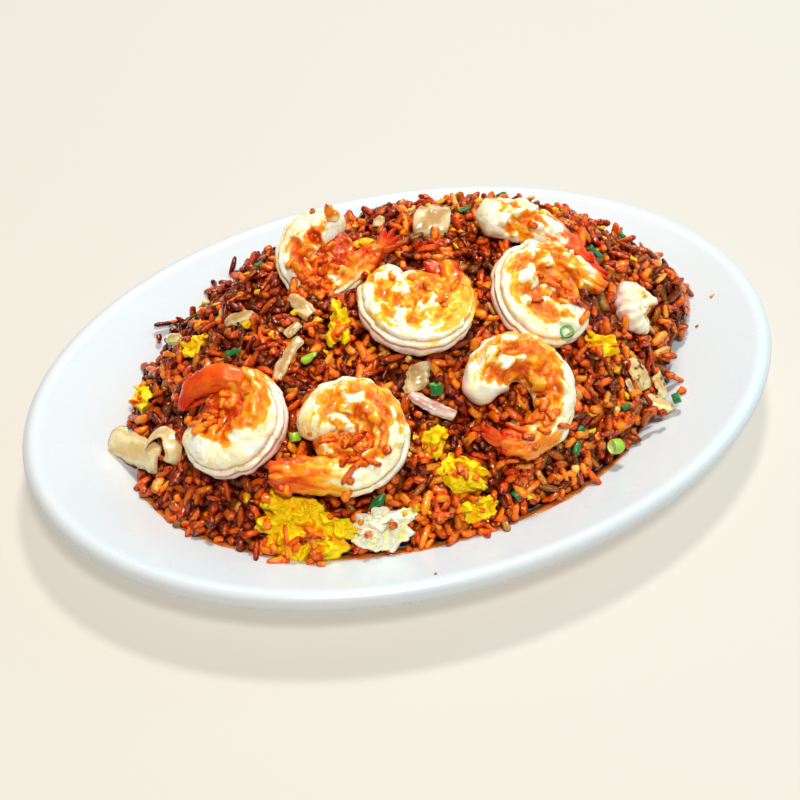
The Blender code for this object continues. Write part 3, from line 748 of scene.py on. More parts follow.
def shrimp_shell(name):
    place = SHRIMP[name]
    fill, glaze, _, tail_part, (fan_turn, fan_spread, fins, fan_length), seed = SHRIMP_LOOK[name]
    hand, radius, curl, girth, tail_share = place[5], place[6], place[8], place[10] * MM, place[11]
    spine, heading, share, middle, length = shrimp_spine(place)
    stops = ((0.0, 0.70), (0.07, 0.93), (0.2, 1.0), (0.45, 0.96), (0.75, 0.45 + 0.55 * tail_share),
             (1.0, tail_share))
    half = np.zeros_like(share)
    for (t0, v0), (t1, v1) in zip(stops, stops[1:]):
        inside = (share >= t0) & (share <= t1)
        half[inside] = v0 + (v1 - v0) * smooth(share[inside], t0, t1)
    half *= girth
    # the two ends round off
    run = share * length
    head_cap = np.sqrt(np.clip(1 - (1 - np.clip(run / (girth * 0.5), 0, 1)) ** 2, 0.02, 1))
    tail_round = girth * tail_share * (0.9 if fins or tail_share > 0.6 else 2.2)
    tail_cap = np.sqrt(np.clip(1 - (1 - np.clip((length - run) / tail_round, 0, 1)) ** 2, 0.02, 1))
    half = half * head_cap * tail_cap
    outward = -hand * np.cross([0, 0, 1], heading)
    turns = section_turns()
    cosine, sine = np.cos(turns), np.sin(turns)
    closed = curl >= CLOSED_CURL
    to_middle = np.linalg.norm(spine, axis=1)
    in_arc = (share < 1 - place[9] * MM / length) if closed else np.zeros_like(share, bool)
    stretch = np.where(in_arc, np.minimum(fill, 0.97 * to_middle / np.maximum(half, 1e-6)), 1.0)
    stretch = np.convolve(np.pad(stretch, 3, mode="edge"), np.full(7, 1 / 7), "valid")
    # segments step in along the outer side
    phase = (share * SEGMENTS) % 1
    step_in = 1 - 0.06 * smooth(phase, 0.7, 1.0) * (share > 0.08) * (share < 0.9)
    if name == "shrimp_far_right":
        step_in = 1 + 0.06 * np.cos(share * math.tau * 8)
    seam_on = smooth(share, 0.06, 0.16) * smooth(share, 0.86, 0.70) * (name != "shrimp_far_right")
    groove, lips = np.zeros_like(turns), np.zeros_like(turns)
    for seam in SEAM_TURNS:
        groove += np.exp(-((turns - seam) / 0.10) ** 2)
        lips += np.exp(-((turns - seam - 0.24) / 0.15) ** 2) * 0.7
    wide = np.sign(cosine) * np.abs(cosine) ** np.where(cosine > 0, 1.0, 0.9)
    high = np.sign(sine) * np.abs(sine) ** np.where(cosine > 0, 0.95, 1.05)
    rings = []
    for i in range(len(share)):
        wander = 0.75 + 0.5 * noise.noise(Vector((share[i] * 6, seed * 3.0, 0)))
        swell = seam_on[i] * wander * MM * (0.8 * lips - 1.1 * groove)
        reach = half[i] * np.where(cosine > 0, step_in[i], stretch[i])
        u = wide * reach + swell * cosine
        w = high * half[i] * BODY_FLATNESS + swell * sine
        rings.append(spine[i] + outward[i] * u[:, None] + np.array([0, 0, 1]) * w[:, None])
    rings = np.array(rings)
    seam = seam_on[:, None] * np.clip(groove, 0, 1)[None, :]
    rim = np.broadcast_to(smooth(cosine, 0.45, 0.95) * smooth(sine, 0.75, 0.2), rings.shape[:2])
    from_glaze = np.linalg.norm(rings[..., :2] - middle[:2] - np.array(glaze[:2]) * MM, axis=-1) / (glaze[2] * MM)
    inner = smooth(from_glaze, 1.3, 0.7) * smooth(sine, -0.5, 0.3)[None, :] * smooth(share, 0.02, 0.12)[:, None]
    tail = smooth(share, 1 - tail_part * 1.25, 1.0 - tail_part * 0.1)[:, None] * (0.8 + 0.0 * turns[None, :])
    tail = tail + smooth(share, 1 - tail_part, 1)[:, None] * smooth(np.abs(cosine), 0.5, 1.0)[None, :] * 0.25
    along = np.stack(np.broadcast_arrays(share[:, None] * 7, cosine * 2.6, sine * 2.6), axis=-1).reshape(-1, 3)
    streak = (lumps(along, 1.0, seed) + 0.6 * lumps(along, 0.4, seed + 1)).reshape(rings.shape[:2])
    body = tube(rings, inner=inner, rim=rim, seam=seam, tail=tail, streak=streak)
    # creases and small lumps, deeper inside the curl
    inner_all = body.marks["inner"]
    fine = lumps(body.points, 2.6 * MM, seed)
    coarse = lumps(body.points, 6.5 * MM, seed + 0.5)
    crease = folds(body.points * np.array([1, 1, 0.6]), 4.6 * MM, seed + 0.7)
    lobe = lobes(body.points * np.array([1, 1, 0.6]), seed + 0.9)
    rough = np.maximum(inner_all, np.clip(body.marks["tail"], 0, 1) * 0.7)
    rise = coarse * 0.75 + fine * 0.30 + rough * (lobe * 2.2 + crease * 1.3 - 1.8 + fine * 0.4)
    body.points = body.points + body.normals() * (rise * MM)[:, None]
    body.marks["hollow"] = 1 - lobe
    shells = [body]
    if closed and fill > 1:
        shells.append(inner_flesh(radius * 1.05 * MM, girth * BODY_FLATNESS * 0.66, seed * 3))
    end = spine[-1]
    for number in range(fins):
        off = fan_spread * (2 * number / (fins - 1) - 1)
        turned = np.array(Matrix.Rotation(math.radians(fan_turn * hand + off), 3, "Z") @ Vector(heading[-1]))
        size = fan_length * MM * (1 - 0.008 * abs(off))
        shells.append(fin_blade(end - heading[-1] * 2.5 * MM, turned, size, girth * tail_share * 1.0,
                                1.6 * MM, (1.2 - abs(off) * 0.03) * MM))
    for knots, redness in HORNS.get(name, []):
        shells.append(horn_shell(knots, redness))
    whole = join(shells)
    whole.points = whole.points - middle
    return whole.moved(seat_on_heap(*place[:4]))


# ---------------------------------------------------------------- egg

# name: x, y, rise, lean, turn, length, width, height, seed
EGG = {
    "egg_front_yolk": (-66, -58.5, 2.0, 0.0, -30, 36, 20, 8, 1),
    "egg_front_white": (-39.5, -68.5, 1.0, 0.0, -8, 23, 15, 8, 2),
    "egg_centre_upper": (-11.5, -53, 1.0, 0.0, 60, 12, 8.5, 7, 3),
    "egg_centre_lower": (-7, -64, 1.0, 0.0, -40, 18, 13, 7, 4),
    "egg_front_right": (-1.5, -74, 1.5, 0.0, 10, 13, 9, 7, 5),
    "egg_upper_left": (-29, -3.5, 1.0, 0.2, 70, 17, 8, 7, 6),
    "egg_left_edge": (-99, 26, 0.5, 0.0, 40, 12, 9, 6, 7),
    "egg_left_lump": (-77, 26, 0.5, 0.0, 10, 10, 8, 6, 8),
    "egg_right": (66.5, -32, 1.0, 0.0, -30, 13, 8, 6, 9),
}


def drape(points, seat):
    """Points of a seat's plane, with their height above it, laid over the heap."""
    array = np.array(seat)
    normal = array[:3, 2]
    flat = points.copy()
    flat[:, 2] = 0
    world = flat @ array[:3, :3].T + array[:3, 3]
    for _ in range(4):
        gap = world[:, 2] - heap_height(world[:, 0], world[:, 1])
        world = world - normal * (gap * normal[2])[:, None]
    return world + normal * points[:, 2][:, None]


def curd_shell(seat, length, width, seed, thickness=1.6, wave=2.4, shift=(0, 0), lift=0.0):
    """A torn, crumpled flake of egg lying over the heap."""
    rays, rounds = (84, 16) if length > 12 else (52, 10)
    angle = np.arange(rays) * (math.tau / rays)
    rim = np.stack([np.cos(angle), np.sin(angle), np.zeros(rays)], axis=-1)
    ragged = 1 + 0.42 * lumps(rim, 0.8, seed) + 0.24 * lumps(rim, 0.36, seed + 3) + 0.12 * lumps(rim, 0.15, seed + 5)
    shares = np.linspace(0.05, 1, rounds) ** 0.85
    flat = []
    for share in shares:
        grow = 1 + (ragged - 1) * share ** 1.5
        flat.append(np.stack([
            np.cos(angle) * share * grow * length / 2 + shift[0],
            np.sin(angle) * share * grow * width / 2 + shift[1], np.zeros(rays),
        ], axis=-1))
    flat = np.array(flat) * MM
    points = flat.reshape(-1, 3)
    warp = np.stack([lumps(points, 5 * MM, seed + 11), lumps(points, 5 * MM, seed + 13), 0 * points[:, 0]], axis=-1)
    warped = points + warp * 2.2 * MM
    crumple = folds(warped, 6.5 * MM, seed + 7) * 1.3 + folds(warped, 2.6 * MM, seed + 9) * 0.4
    crumple = (crumple - 0.8).reshape(rounds, rays)
    edge = smooth(shares, 1.0, 0.7)[:, None]
    top = (thickness * (0.3 + 0.7 * edge) + wave * crumple * (0.4 + 0.6 * edge) + 0.8 + lift) * MM
    low = top - thickness * MM * (0.4 + 0.6 * edge)
    upper, lower = flat.copy(), flat.copy()
    upper[..., 2], lower[..., 2] = top, low
    # the troughs of the crumple are marked hollow, which the egg finish paints deeper orange as shade
    hollow = smooth(crumple, 0.15, -0.45)
    rings = np.concatenate([lower[:-1], upper[::-1]])
    shell = tube(rings, hollow=np.concatenate([hollow[:-1], hollow[::-1]]))
    shell.points = drape(shell.points, seat)
    return shell


def egg_shell(name):
    """A main flake with smaller torn ones folded over it."""
    x, y, rise, lean, turn, length, width, height, seed = EGG[name]
    seat = seat_on_heap(x, y, 0.0, min(lean, 0.0), turn)
    draw = np.random.default_rng(seed)
    wave = 2.3 + height * 0.13
    flakes = [curd_shell(seat, length * 0.98, width * 1.0, seed, 1.2, wave)]
    for number in range(3 + int(length / 6)):
        shift = (draw.uniform(-0.44, 0.44) * length, draw.uniform(-0.42, 0.42) * width)
        size = draw.uniform(0.24, 0.46) * (length + width) / 2
        flakes.append(curd_shell(seat, size * 1.25, size * 0.8, seed + 20 * (number + 1), 1.5, wave, shift,
                                 draw.uniform(0.6, 1.6)))
    return join(flakes)


# ---------------------------------------------------------------- onion

# name: x, y, rise, lean, turn, length, width, thickness, arch in degrees, sideways bend in degrees
ONION = {
    "onion_left_long": (-107, 4, 4.5, 0.45, -44, 27, 12, 2.2, -16, 10),
    "onion_left_arch": (-99, -3, 8.0, 0.2, -42, 19, 6.5, 2.4, 110, 30),
    "onion_upper_left": (-59.5, 23.5, 1.4, 0.0, -42, 12, 6.5, 2.2, 25, 0),
    "onion_long": (-51, -6.5, 1.4, 0.0, 38, 19, 5, 2.0, 20, -15),
    "onion_under_shrimp": (-38.5, 13, 1.4, 0.0, -82, 15, 6, 2.0, 30, 20),
    "onion_back_round": (24, 33.5, 3.0, 0.5, -20, 14, 14, 3.4, 40, 0),
    "onion_middle": (-10.5, -33.5, 2.6, 0.1, 60, 11.5, 8.5, 2.0, 30, 0),
    "onion_pink": (-9, -43.8, 2.4, 0.0, -44, 19, 4.8, 1.8, 25, 25),
    "onion_charred_upper": (81, -38.5, 1.5, 0.0, -70, 14, 9, 2.8, 30, 10),
    "onion_charred_side": (90, -40, 2.0, 0.0, -80, 10, 7, 2.6, 20, 0),
    "onion_charred_lower": (85.5, -48.0, 4.6, -0.75, -50, 12.5, 6, 2.4, 20, 0),
}
STRIP_STATIONS = 40
STRIP_SIDES = 32


def strip_shell(line, facing, width, thickness, seed, cup=0.2, taper_power=4, blunt=0.45, shear=0.0):
    """A thin strip along a line of points, its broad side facing as given, with lengthwise lines."""
    line, facing = np.asarray(line, float), unit(np.asarray(facing, float))
    heading = unit(np.gradient(line, axis=0))
    across = unit(np.cross(facing, heading))
    facing = np.cross(heading, across)
    around = np.arange(STRIP_SIDES) * (math.tau / STRIP_SIDES)
    cosine, sine = np.cos(around), np.sin(around)
    rings, lines, edges = [], [], []
    for i in range(len(line)):
        t = 2 * (i + 0.5) / len(line) - 1
        taper = max(1 - abs(t) ** taper_power, 0) ** 0.5 * (1 - blunt) + blunt
        taper *= 1 + 0.24 * noise.noise(Vector((t * 3.0, seed, 0)))
        ridge = 0.035 * np.cos(cosine * 30 + 3 * t) * np.abs(sine) ** 0.5
        side = width / 2 * taper * np.sign(cosine) * np.abs(cosine) ** 0.8
        rise = thickness / 2 * sine + np.sign(sine) * ridge - cup * width * (cosine ** 2 - 0.5) * taper
        rings.append(line[i] + (across[i] + heading[i] * shear) * side[:, None] + facing[i] * rise[:, None])
        lines.append(0.5 + 0.5 * np.cos(cosine * 30 + 3 * t))
        edges.append(np.maximum(np.abs(cosine) ** 6, abs(t) ** 8))
    shell = tube(np.array(rings) * MM, lines=np.array(lines), edge=np.array(edges))
    wobble = lumps(shell.points, 6 * MM, seed) * 0.5 + lumps(shell.points, 2.5 * MM, seed + 1) * 0.22
    shell.points = shell.points + shell.normals() * (wobble * MM)[:, None]
    return shell


def bent_line(length, arch, bend):
    """A line along X that arches up and bends sideways, in millimetres and degrees, and its upward side."""
    t = (np.arange(STRIP_STATIONS) + 0.5) / STRIP_STATIONS - 0.5
    lift, yaw = -math.radians(arch) * t, math.radians(bend) * t
    line = np.stack([
        length * t * np.cos(yaw / 2) * np.cos(lift / 2), length * t * np.sin(yaw / 2),
        length * t * np.sin(lift / 2),
    ], axis=-1)
    return line, np.stack([-np.sin(lift), np.zeros_like(t), np.cos(lift)], axis=-1)


def ring_line(radius, start, end):
    """Part of an onion ring lying flat, whose broad side leans outward."""
    angle = np.radians(np.linspace(start, end, STRIP_STATIONS))
    line = np.stack([np.cos(angle), np.sin(angle), 0.12 * np.cos(angle * 2)], axis=-1) * radius
    return line, np.stack([np.cos(angle) * 0.75, np.sin(angle) * 0.75, np.full_like(angle, 0.66)], axis=-1)


def onion_shell(name):
    x, y, rise, lean, turn, length, width, thickness, arch, bend = ONION[name]
    seed = len(name) * 1.7 + abs(x)
    if name == "onion_left_arch":
        line, facing = ring_line(6.6, 158, -76)
        shell = strip_shell(line, facing, 6.6, 1.3, seed, 0.05, 8, 0.7)
        return shell.moved(seat_on_heap(x - 1.5, y - 2.0, 3.2, 0.35, 0))
    line, facing = bent_line(length, arch, bend)
    shear = 0.0 if name == "onion_left_long" else 0.5 * math.sin(seed * 3)
    shell = strip_shell(line, facing, width, thickness * 0.45, seed, 0.16, 7, 0.6, shear)
    return shell.moved(seat_on_heap(x, y, rise, lean, turn))


# ---------------------------------------------------------------- laying pieces down

def tree_of(shells):
    """Ray-casting tree over several shells."""
    whole = join(shells)
    return BVHTree.FromPolygons(whole.points.tolist(), whole.faces().tolist())


def top_at(x, y, toppings):
    """Highest point over a spot and the way that it faces: a topping, or else the rice."""
    hit, normal, _, _ = toppings.ray_cast(Vector((x, y, 0.2)), Vector((0, 0, -1)))
    spot_x, spot_y = np.array([x]), np.array([y])
    ground = max(heap_height(spot_x, spot_y)[0], dish_height(spot_x, spot_y)[0])
    if hit is not None and hit.z > ground:
        return np.array(hit), np.array(normal) * (1 if normal.z > 0 else -1)
    if heap_height(spot_x, spot_y)[0] > dish_height(spot_x, spot_y)[0]:
        return np.array([x, y, ground]), surface_normals(heap_height, spot_x, spot_y, 2 * MM)[0]
    return np.array([x, y, ground]), surface_normals(dish_height, spot_x, spot_y, 2 * MM)[0]


def axes_on(normal, turn, pitch=0.0, roll=0.0):
    """Axes of a piece on a surface: along it, across it and off it, as the columns of a matrix."""
    normal = unit(np.asarray(normal, float))
    along = unit(np.cross([0, 1, 0], normal))
    across = np.cross(normal, along)
    frame_axes = Matrix(np.stack([along, across, normal], axis=-1).tolist())
    turned = Matrix.Rotation(turn, 3, "Z") @ Matrix.Rotation(-pitch, 3, "Y") @ Matrix.Rotation(roll, 3, "X")
    return np.array(frame_axes @ turned)


# ---------------------------------------------------------------- rice grains

def grain_form(seed):
    """One grain along X, of unit size: plump, a little bent, with one end blunter; some are broken."""
    draw = np.random.default_rng(seed)
    broken = seed % 6 == 5
    ends = (-0.95, 0.55) if broken else (-0.95, 0.95)
    bend = draw.normal(0, 0.10)
    blunt = draw.uniform(0.75, 1.1)
    around = np.arange(GRAIN_SIDES) * (math.tau / GRAIN_SIDES) + draw.uniform(0, 1)
    rings = []
    for i in range(GRAIN_RINGS):
        t = math.sin((i / (GRAIN_RINGS - 1) - 0.5) * math.pi * 0.86) / math.sin(math.pi * 0.43)
        t = ends[0] + (ends[1] - ends[0]) * (t * 0.96 + 1) / 2
        body = max(1 - abs(t) ** 4, 0.02) ** 0.5 * (1 + (1 - blunt) * 0.45 * t)
        body *= draw.uniform(0.90, 1.10)
        rings.append(np.stack([
            np.full(GRAIN_SIDES, t),
            np.cos(around) * body * draw.uniform(0.92, 1.12, GRAIN_SIDES) + bend * (1 - t * t) * 2,
            np.sin(around) * body * draw.uniform(0.92, 1.12, GRAIN_SIDES),
        ], axis=-1))
    if broken:
        rings[-1][:, 1:] *= 0.8
    start = rings[0].mean(0) + np.array([-0.06, 0, 0])
    end = rings[-1].mean(0) + np.array([0.06, 0, 0])
    shell = tube(rings, start, end)
    # the upper middle of each grain is marked for the lighter colour: painted light on the side facing up
    crest = np.clip(shell.points[:, 2] * 1.15, 0, 1)
    shell.marks["belly"] = crest * (1 - np.abs(shell.points[:, 0]) ** 2.5)
    return shell


GRAIN_SHAPES = [grain_form(seed) for seed in range(GRAIN_FORMS)]


class Grains:
    """Grains laid so far: place, axes, size, form, kind, tint and the painted shade for how deep they lie."""

    def __init__(self):
        self.rows = []

    def add(self, place, axes, size, kind, tint, buried):
        self.rows.append((place, axes * (np.asarray(size) / 2)[None, :], int(rng.integers(GRAIN_FORMS)),
                          kind, tint, buried))

    def shell(self, kind):
        chosen = [row for row in self.rows if row[3] == kind]
        shells = []
        for form, shape in enumerate(GRAIN_SHAPES):
            rows = [row for row in chosen if row[2] == form]
            if not rows:
                continue
            places = np.array([row[0] for row in rows])
            axes = np.array([row[1] for row in rows])
            points = np.einsum("gij,vj->gvi", axes, shape.points) + places[:, None, :]
            count, corners = points.shape[:2]
            shift = (np.arange(count) * corners)[:, None, None]
            shells.append(Shell(
                points.reshape(-1, 3),
                (shape.quads[None] + shift).reshape(-1, 4),
                (shape.triangles[None] + shift).reshape(-1, 3),
                tint=np.repeat([row[4] for row in rows], corners),
                buried=np.repeat([row[5] for row in rows], corners),
                belly=np.tile(shape.marks["belly"], count),
            ))
        return join(shells)


def grain_size():
    length = rng.normal(0.5, 0.10) if rng.random() < 0.28 else rng.normal(1.0, 0.2)
    return (
        GRAIN_LENGTH * float(np.clip(length, 0.35, 1.4)),
        GRAIN_WIDTH * float(rng.uniform(0.75, 1.35)),
        GRAIN_THICKNESS * float(rng.uniform(0.75, 1.25)),
    )


KINDS = ("dark", "red", "amber", "pale")
KIND_COLOURS = {            # at the ends, over the body, and on the top of a grain; the lighter top and darker ends are painted light and shade over random tone
    "dark": (srgb(48, 1, 1), srgb(124, 17, 1), srgb(214, 84, 9)),
    "red": (srgb(86, 4, 1), srgb(196, 42, 2), srgb(252, 120, 16)),
    "amber": (srgb(144, 23, 1), srgb(248, 88, 4), srgb(255, 158, 30)),
    "pale": (srgb(154, 58, 8), srgb(224, 126, 36), srgb(255, 206, 106)),
}


def pick_kind(x, y):
    """Kind of a grain by place: paler at the right end and along the near edge."""
    right = float(smooth(x, -45 * MM, 55 * MM))
    near = float(smooth(-y, 45 * MM, 75 * MM))
    patch = noise.noise(Vector((x, y, 0)) / (14 * MM))
    dark = 0.52 - 0.42 * right - 0.38 * near + 0.50 * patch
    pale = 0.03 + 0.07 * right + 0.02 * near - 0.04 * patch
    amber = 0.18 + 0.20 * right + 0.22 * near - 0.12 * patch
    draw = rng.random()
    if draw < pale:
        return "pale"
    if draw < pale + amber:
        return "amber"
    if draw < pale + amber + max(dark, 0.03):
        return "dark"
    return "red"


def bed_grid():
    """Grid over the heap: surface points, normals, bed depth, and how much rice is wanted above the bed."""
    x, y = np.meshgrid(np.arange(-128 * MM, 142 * MM, CELL), np.arange(-96 * MM, 98 * MM, CELL), indexing="ij")
    heap, dish = heap_height(x, y), dish_height(x, y)
    on_heap = heap > dish + 1.3 * MM
    normals = np.where(on_heap[..., None], surface_normals(heap_height, x, y, 2 * MM),
                       surface_normals(dish_height, x, y, 2 * MM))
    surface = np.stack([x, y, np.where(on_heap, heap, dish + 0.1 * MM)], axis=-1)
    depth = np.where(on_heap, np.clip((heap - dish - 0.6 * MM) * normals[..., 2], 0, BED_DEPTH), 0)
    flat = surface.reshape(-1, 3) * np.array([1, 1, 0])
    uneven = (lumps(flat, 11 * MM, 2) * 2.8 + lumps(flat, 5 * MM, 4) * 1.9).reshape(x.shape) * MM
    rough_edge = (lumps(flat, 7 * MM, 6) * 1.8 + lumps(flat, 3 * MM, 8) * 1.2).reshape(x.shape) * MM
    beyond = (dish + 1.3 * MM - heap)
    fringe = 1.7 * MM + rough_edge * 0.6 - beyond * 1.3
    wanted = np.where(on_heap, depth + uneven, np.where(beyond < 5 * MM, fringe, -1.0))
    for clump_x, clump_y, reach, extra in RICE_CLUMPS:
        near_by = np.exp(-((x / MM - clump_x) ** 2 + (y / MM - clump_y) ** 2) / reach ** 2)
        more = near_by * extra * MM * np.where(on_heap, 1.0, 0.4)
        wanted = np.where((near_by > 0.3) | on_heap, np.maximum(wanted, -0.5 * MM) + more, wanted)
    return surface - normals * depth[..., None], normals, depth, wanted


def lay_grains(grains, toppings):
    """Grains come to rest one by one on the bed and on each other, where the most is still wanted."""
    base, normals, depth, wanted = bed_grid()
    active = wanted > 0.3 * MM
    ceiling = np.full(wanted.shape, 1.0)
    for i, j in np.argwhere(active):
        start, way = Vector(base[i, j]), Vector(normals[i, j])
        hit, facing, _, distance = toppings.ray_cast(start, way, 0.03)
        if hit is not None:
            ceiling[i, j] = 0.0 if facing.dot(way) > 0 else distance
    wanted = np.minimum(wanted, ceiling - 1.0 * MM)
    fill = np.zeros_like(wanted)
    cells = np.argwhere(wanted > 0.3 * MM)
    weights = 1 / normals[cells[:, 0], cells[:, 1], 2]
    weights = np.cumsum(weights / weights.sum())
    reach = int(9.5 * MM / CELL)
    misses = 0
    while len(grains.rows) < GRAIN_LIMIT and misses < 900:
        picks = cells[np.minimum(np.searchsorted(weights, rng.random(7)), len(cells) - 1)]
        lack = wanted[picks[:, 0], picks[:, 1]] - fill[picks[:, 0], picks[:, 1]]
        best = int(np.argmax(lack))
        if lack[best] < 0.5 * MM:
            misses += 1
            continue
        i, j = picks[best]
        size = grain_size()
        low_i, low_j = max(i - reach, 0), max(j - reach, 0)
        window = (slice(low_i, i + reach + 1), slice(low_j, j + reach + 1))
        near = base[window] + normals[window] * fill[window][..., None]
        centre = base[i, j] + normals[i, j] * fill[i, j]
        axes = axes_on(normals[i, j], rng.uniform(0, math.tau))
        local = (near - centre) @ axes
        a, b, c = local[..., 0], local[..., 1], local[..., 2]
        spread = (a / (size[0] * 0.5)) ** 2 + (b / (size[1] * 0.5)) ** 2
        under = spread < 1
        if under.sum() < 6:
            misses += 1
            continue
        au, cu = a[under], c[under]
        slope = float(np.clip(((au - au.mean()) * (cu - cu.mean())).sum() / max(((au - au.mean()) ** 2).sum(), 1e-9),
                              -0.6, 0.6)) + rng.normal(0, 0.16)
        drop = size[2] * 0.5 * np.sqrt(1 - spread[under])
        lift = float(np.quantile(cu - slope * au + drop, 0.85)) - GRAIN_SINK
        top = lift + slope * au + drop
        rise = top - cu
        full = fill[window][under] + rise
        if (full > ceiling[window][under] + 0.35 * MM).any():
            misses += 0.3
            wanted[i, j] -= 0.25 * MM
            continue
        pitch = math.atan(slope) + (rng.normal(0, 0.45) if rng.random() < 0.22 else 0.0)
        turned = axes @ np.array(Matrix.Rotation(-pitch, 3, "Y") @ Matrix.Rotation(rng.uniform(-0.5, 0.5), 3, "X"))
        place = centre + axes[:, 2] * lift
        depth_left = float(wanted[i, j] - fill[i, j])
        fill[window][under] = np.maximum(fill[window][under], full)
        kind = pick_kind(place[0], place[1])
        # painted shade: the more rice still wanted above a grain, the darker it is coloured
        buried = float(smooth(depth_left, 1.4 * MM, 4.0 * MM)) * 0.9
        grains.add(place, turned, size, kind, rng.random(), buried)
        misses = 0
    return base, normals, fill, wanted


def lay_loose_grains(grains, toppings):
    """Grains that stick up out of the heap, and those stuck to shrimp and egg."""
    stuck_up = 0
    while stuck_up < LOOSE_GRAINS:
        x, y = rng.uniform(-118, 130) * MM, rng.uniform(-84, 88) * MM
        spot_x, spot_y = np.array([x]), np.array([y])
        if heap_height(spot_x, spot_y)[0] < dish_height(spot_x, spot_y)[0] + 9 * MM:
            continue
        stuck_up += 1
        place, normal = top_at(x, y, toppings)
        if place[2] > heap_height(spot_x, spot_y)[0] + 1.5 * MM:
            continue
        size = grain_size()
        axes = axes_on(normal, rng.uniform(0, math.tau), rng.uniform(0.35, 1.1), rng.uniform(-1, 1))
        grains.add(place + normal * rng.uniform(1.2, 2.6) * MM, axes, size, pick_kind(x, y), rng.random(), 0.0)
    for name, (_, (glaze_x, glaze_y, reach, _), _, _, _, _) in SHRIMP_LOOK.items():
        seat = seat_on_heap(*SHRIMP[name][:4])
        for number in range(STUCK_GRAINS[name]):
            spread = abs(rng.normal(0, 0.36)) * reach
            angle = rng.uniform(0, math.tau)
            spot = seat @ Vector(((glaze_x + spread * math.cos(angle)) * MM,
                                  (glaze_y + spread * math.sin(angle)) * MM, 20 * MM))
            lay_one(grains, spot.x, spot.y, toppings, ("red", "amber"))
    for name in EGG:
        seat = seat_on_heap(*EGG[name][:4], EGG[name][4])
        length, width = EGG[name][5:7]
        for number in range(int(length * width / (90 if name == "egg_front_white" else 24)) + 1):
            spot = seat @ Vector((rng.normal(0, 0.28) * length * MM, rng.normal(0, 0.28) * width * MM, 5 * MM))
            lay_one(grains, spot.x, spot.y, toppings, ("red", "amber", "amber"))
    for x, y, turn in FLANGE_GRAINS:
        spot_x, spot_y = np.array([x * MM]), np.array([y * MM])
        normal = surface_normals(dish_height, spot_x, spot_y, 2 * MM)[0]
        place = np.array([x * MM, y * MM, dish_height(spot_x, spot_y)[0]]) + normal * 1.0 * MM
        grains.add(place, axes_on(normal, math.radians(turn)), grain_size(), "red", rng.random(), 0.0)


def lay_one(grains, x, y, toppings, kinds):
    place, normal = top_at(x, y, toppings)
    if normal[2] < 0.35:
        return
    size = np.array(grain_size()) * np.array([0.9, 0.95, 0.85])
    axes = axes_on(normal, rng.uniform(0, math.tau), rng.normal(0, 0.12), rng.uniform(-0.4, 0.4))
    kind = kinds[int(rng.integers(len(kinds)))]
    grains.add(place + normal * size[2] * 0.3, axes, size, kind, rng.uniform(0.3, 1.0), 0.0)


# ---------------------------------------------------------------- scallion, crumbs and oil

# form, x, y, z, turn, size and deepness of the green, in millimetres and degrees
SCALLION = (
    ("ring", 48.9, -36.6, 63.5, 20, 6.6, 0.85), ("tube", 57.7, -64.7, 25, 10, 8.6, 0.25),
    ("tube", 92.5, -51.7, 24, -20, 6.2, 1.0), ("leaf", 20.4, -56.9, 43, -8, 10.0, 0.95),
    ("tube", -6.1, -40.7, 58, 80, 8.0, 0.9), ("leaf", -67.6, 6.7, 57, 150, 8.0, 1.0),
    ("leaf", -44.8, -13.3, 64, -20, 7.0, 0.25), ("tube", 12.9, -72.7, 25.5, 30, 6.4, 0.9),
    ("leaf", -37.8, -62.8, 32.5, 40, 9.0, 1.0), ("tube", -58.7, -35.1, 48.5, 70, 6.6, 0.15),
    ("leaf", 41.7, -63.8, 30.5, 70, 8.0, 0.9), ("tube", 45.5, -58.5, 33, 30, 5.0, 0.95),
    ("leaf", -83.4, 32.8, 46.5, 40, 7.0, 0.3), ("tube", 58.8, 42.7, 63.5, 10, 6.4, 0.95),
    ("leaf", 81.6, 3.8, 59, -40, 8.0, 1.0), ("leaf", 39.0, 36.5, 0, 20, 6.0, 1.0),
    ("ring", -42, 52, 0, 0, 6.4, 0.6), ("leaf", -8, 66, 0, 60, 8.0, 0.9), ("tube", 34, 66, 0, -30, 6.4, 0.5),
    ("leaf", 88, 40, 0, 100, 8.0, 0.95), ("ring", 104, 22, 0, 0, 6.0, 0.8), ("sliver", -70, 48, 0, 20, 8.0, 0.9),
    ("leaf", 66, 62, 0, -20, 7.0, 0.4), ("leaf", 68.5, -50.5, 0, 30, 5.0, 0.9),
)
STUCK_GRAINS = {
    "shrimp_front_left": 34, "shrimp_front_middle": 34, "shrimp_middle": 7, "shrimp_back_left": 110,
    "shrimp_front_right": 24, "shrimp_back_right": 20, "shrimp_far_back": 3, "shrimp_far_right": 1,
}
# more rice or less of it, in millimetres: x, y, reach, change of height
RICE_CLUMPS = (
    (111, -3, 8, 6.0), (112, -27, 10, -2.5), (100, -44, 9, -1.0), (78, 22, 8, 3.5), (60, 40, 7, 3.0),
    (-88, 25, 7, 2.5), (-60, 14, 8, 2.5), (-102, -12, 6, 1.5), (10, -70, 9, 2.0), (40, -58, 9, 2.5),
    (18, 52, 9, 2.5), (-40, 58, 9, 2.5),
)
LOOSE_GRAINS = 380
FLANGE_GRAINS = ((99.5, -43.8, 20),)
CRUMBS = 170


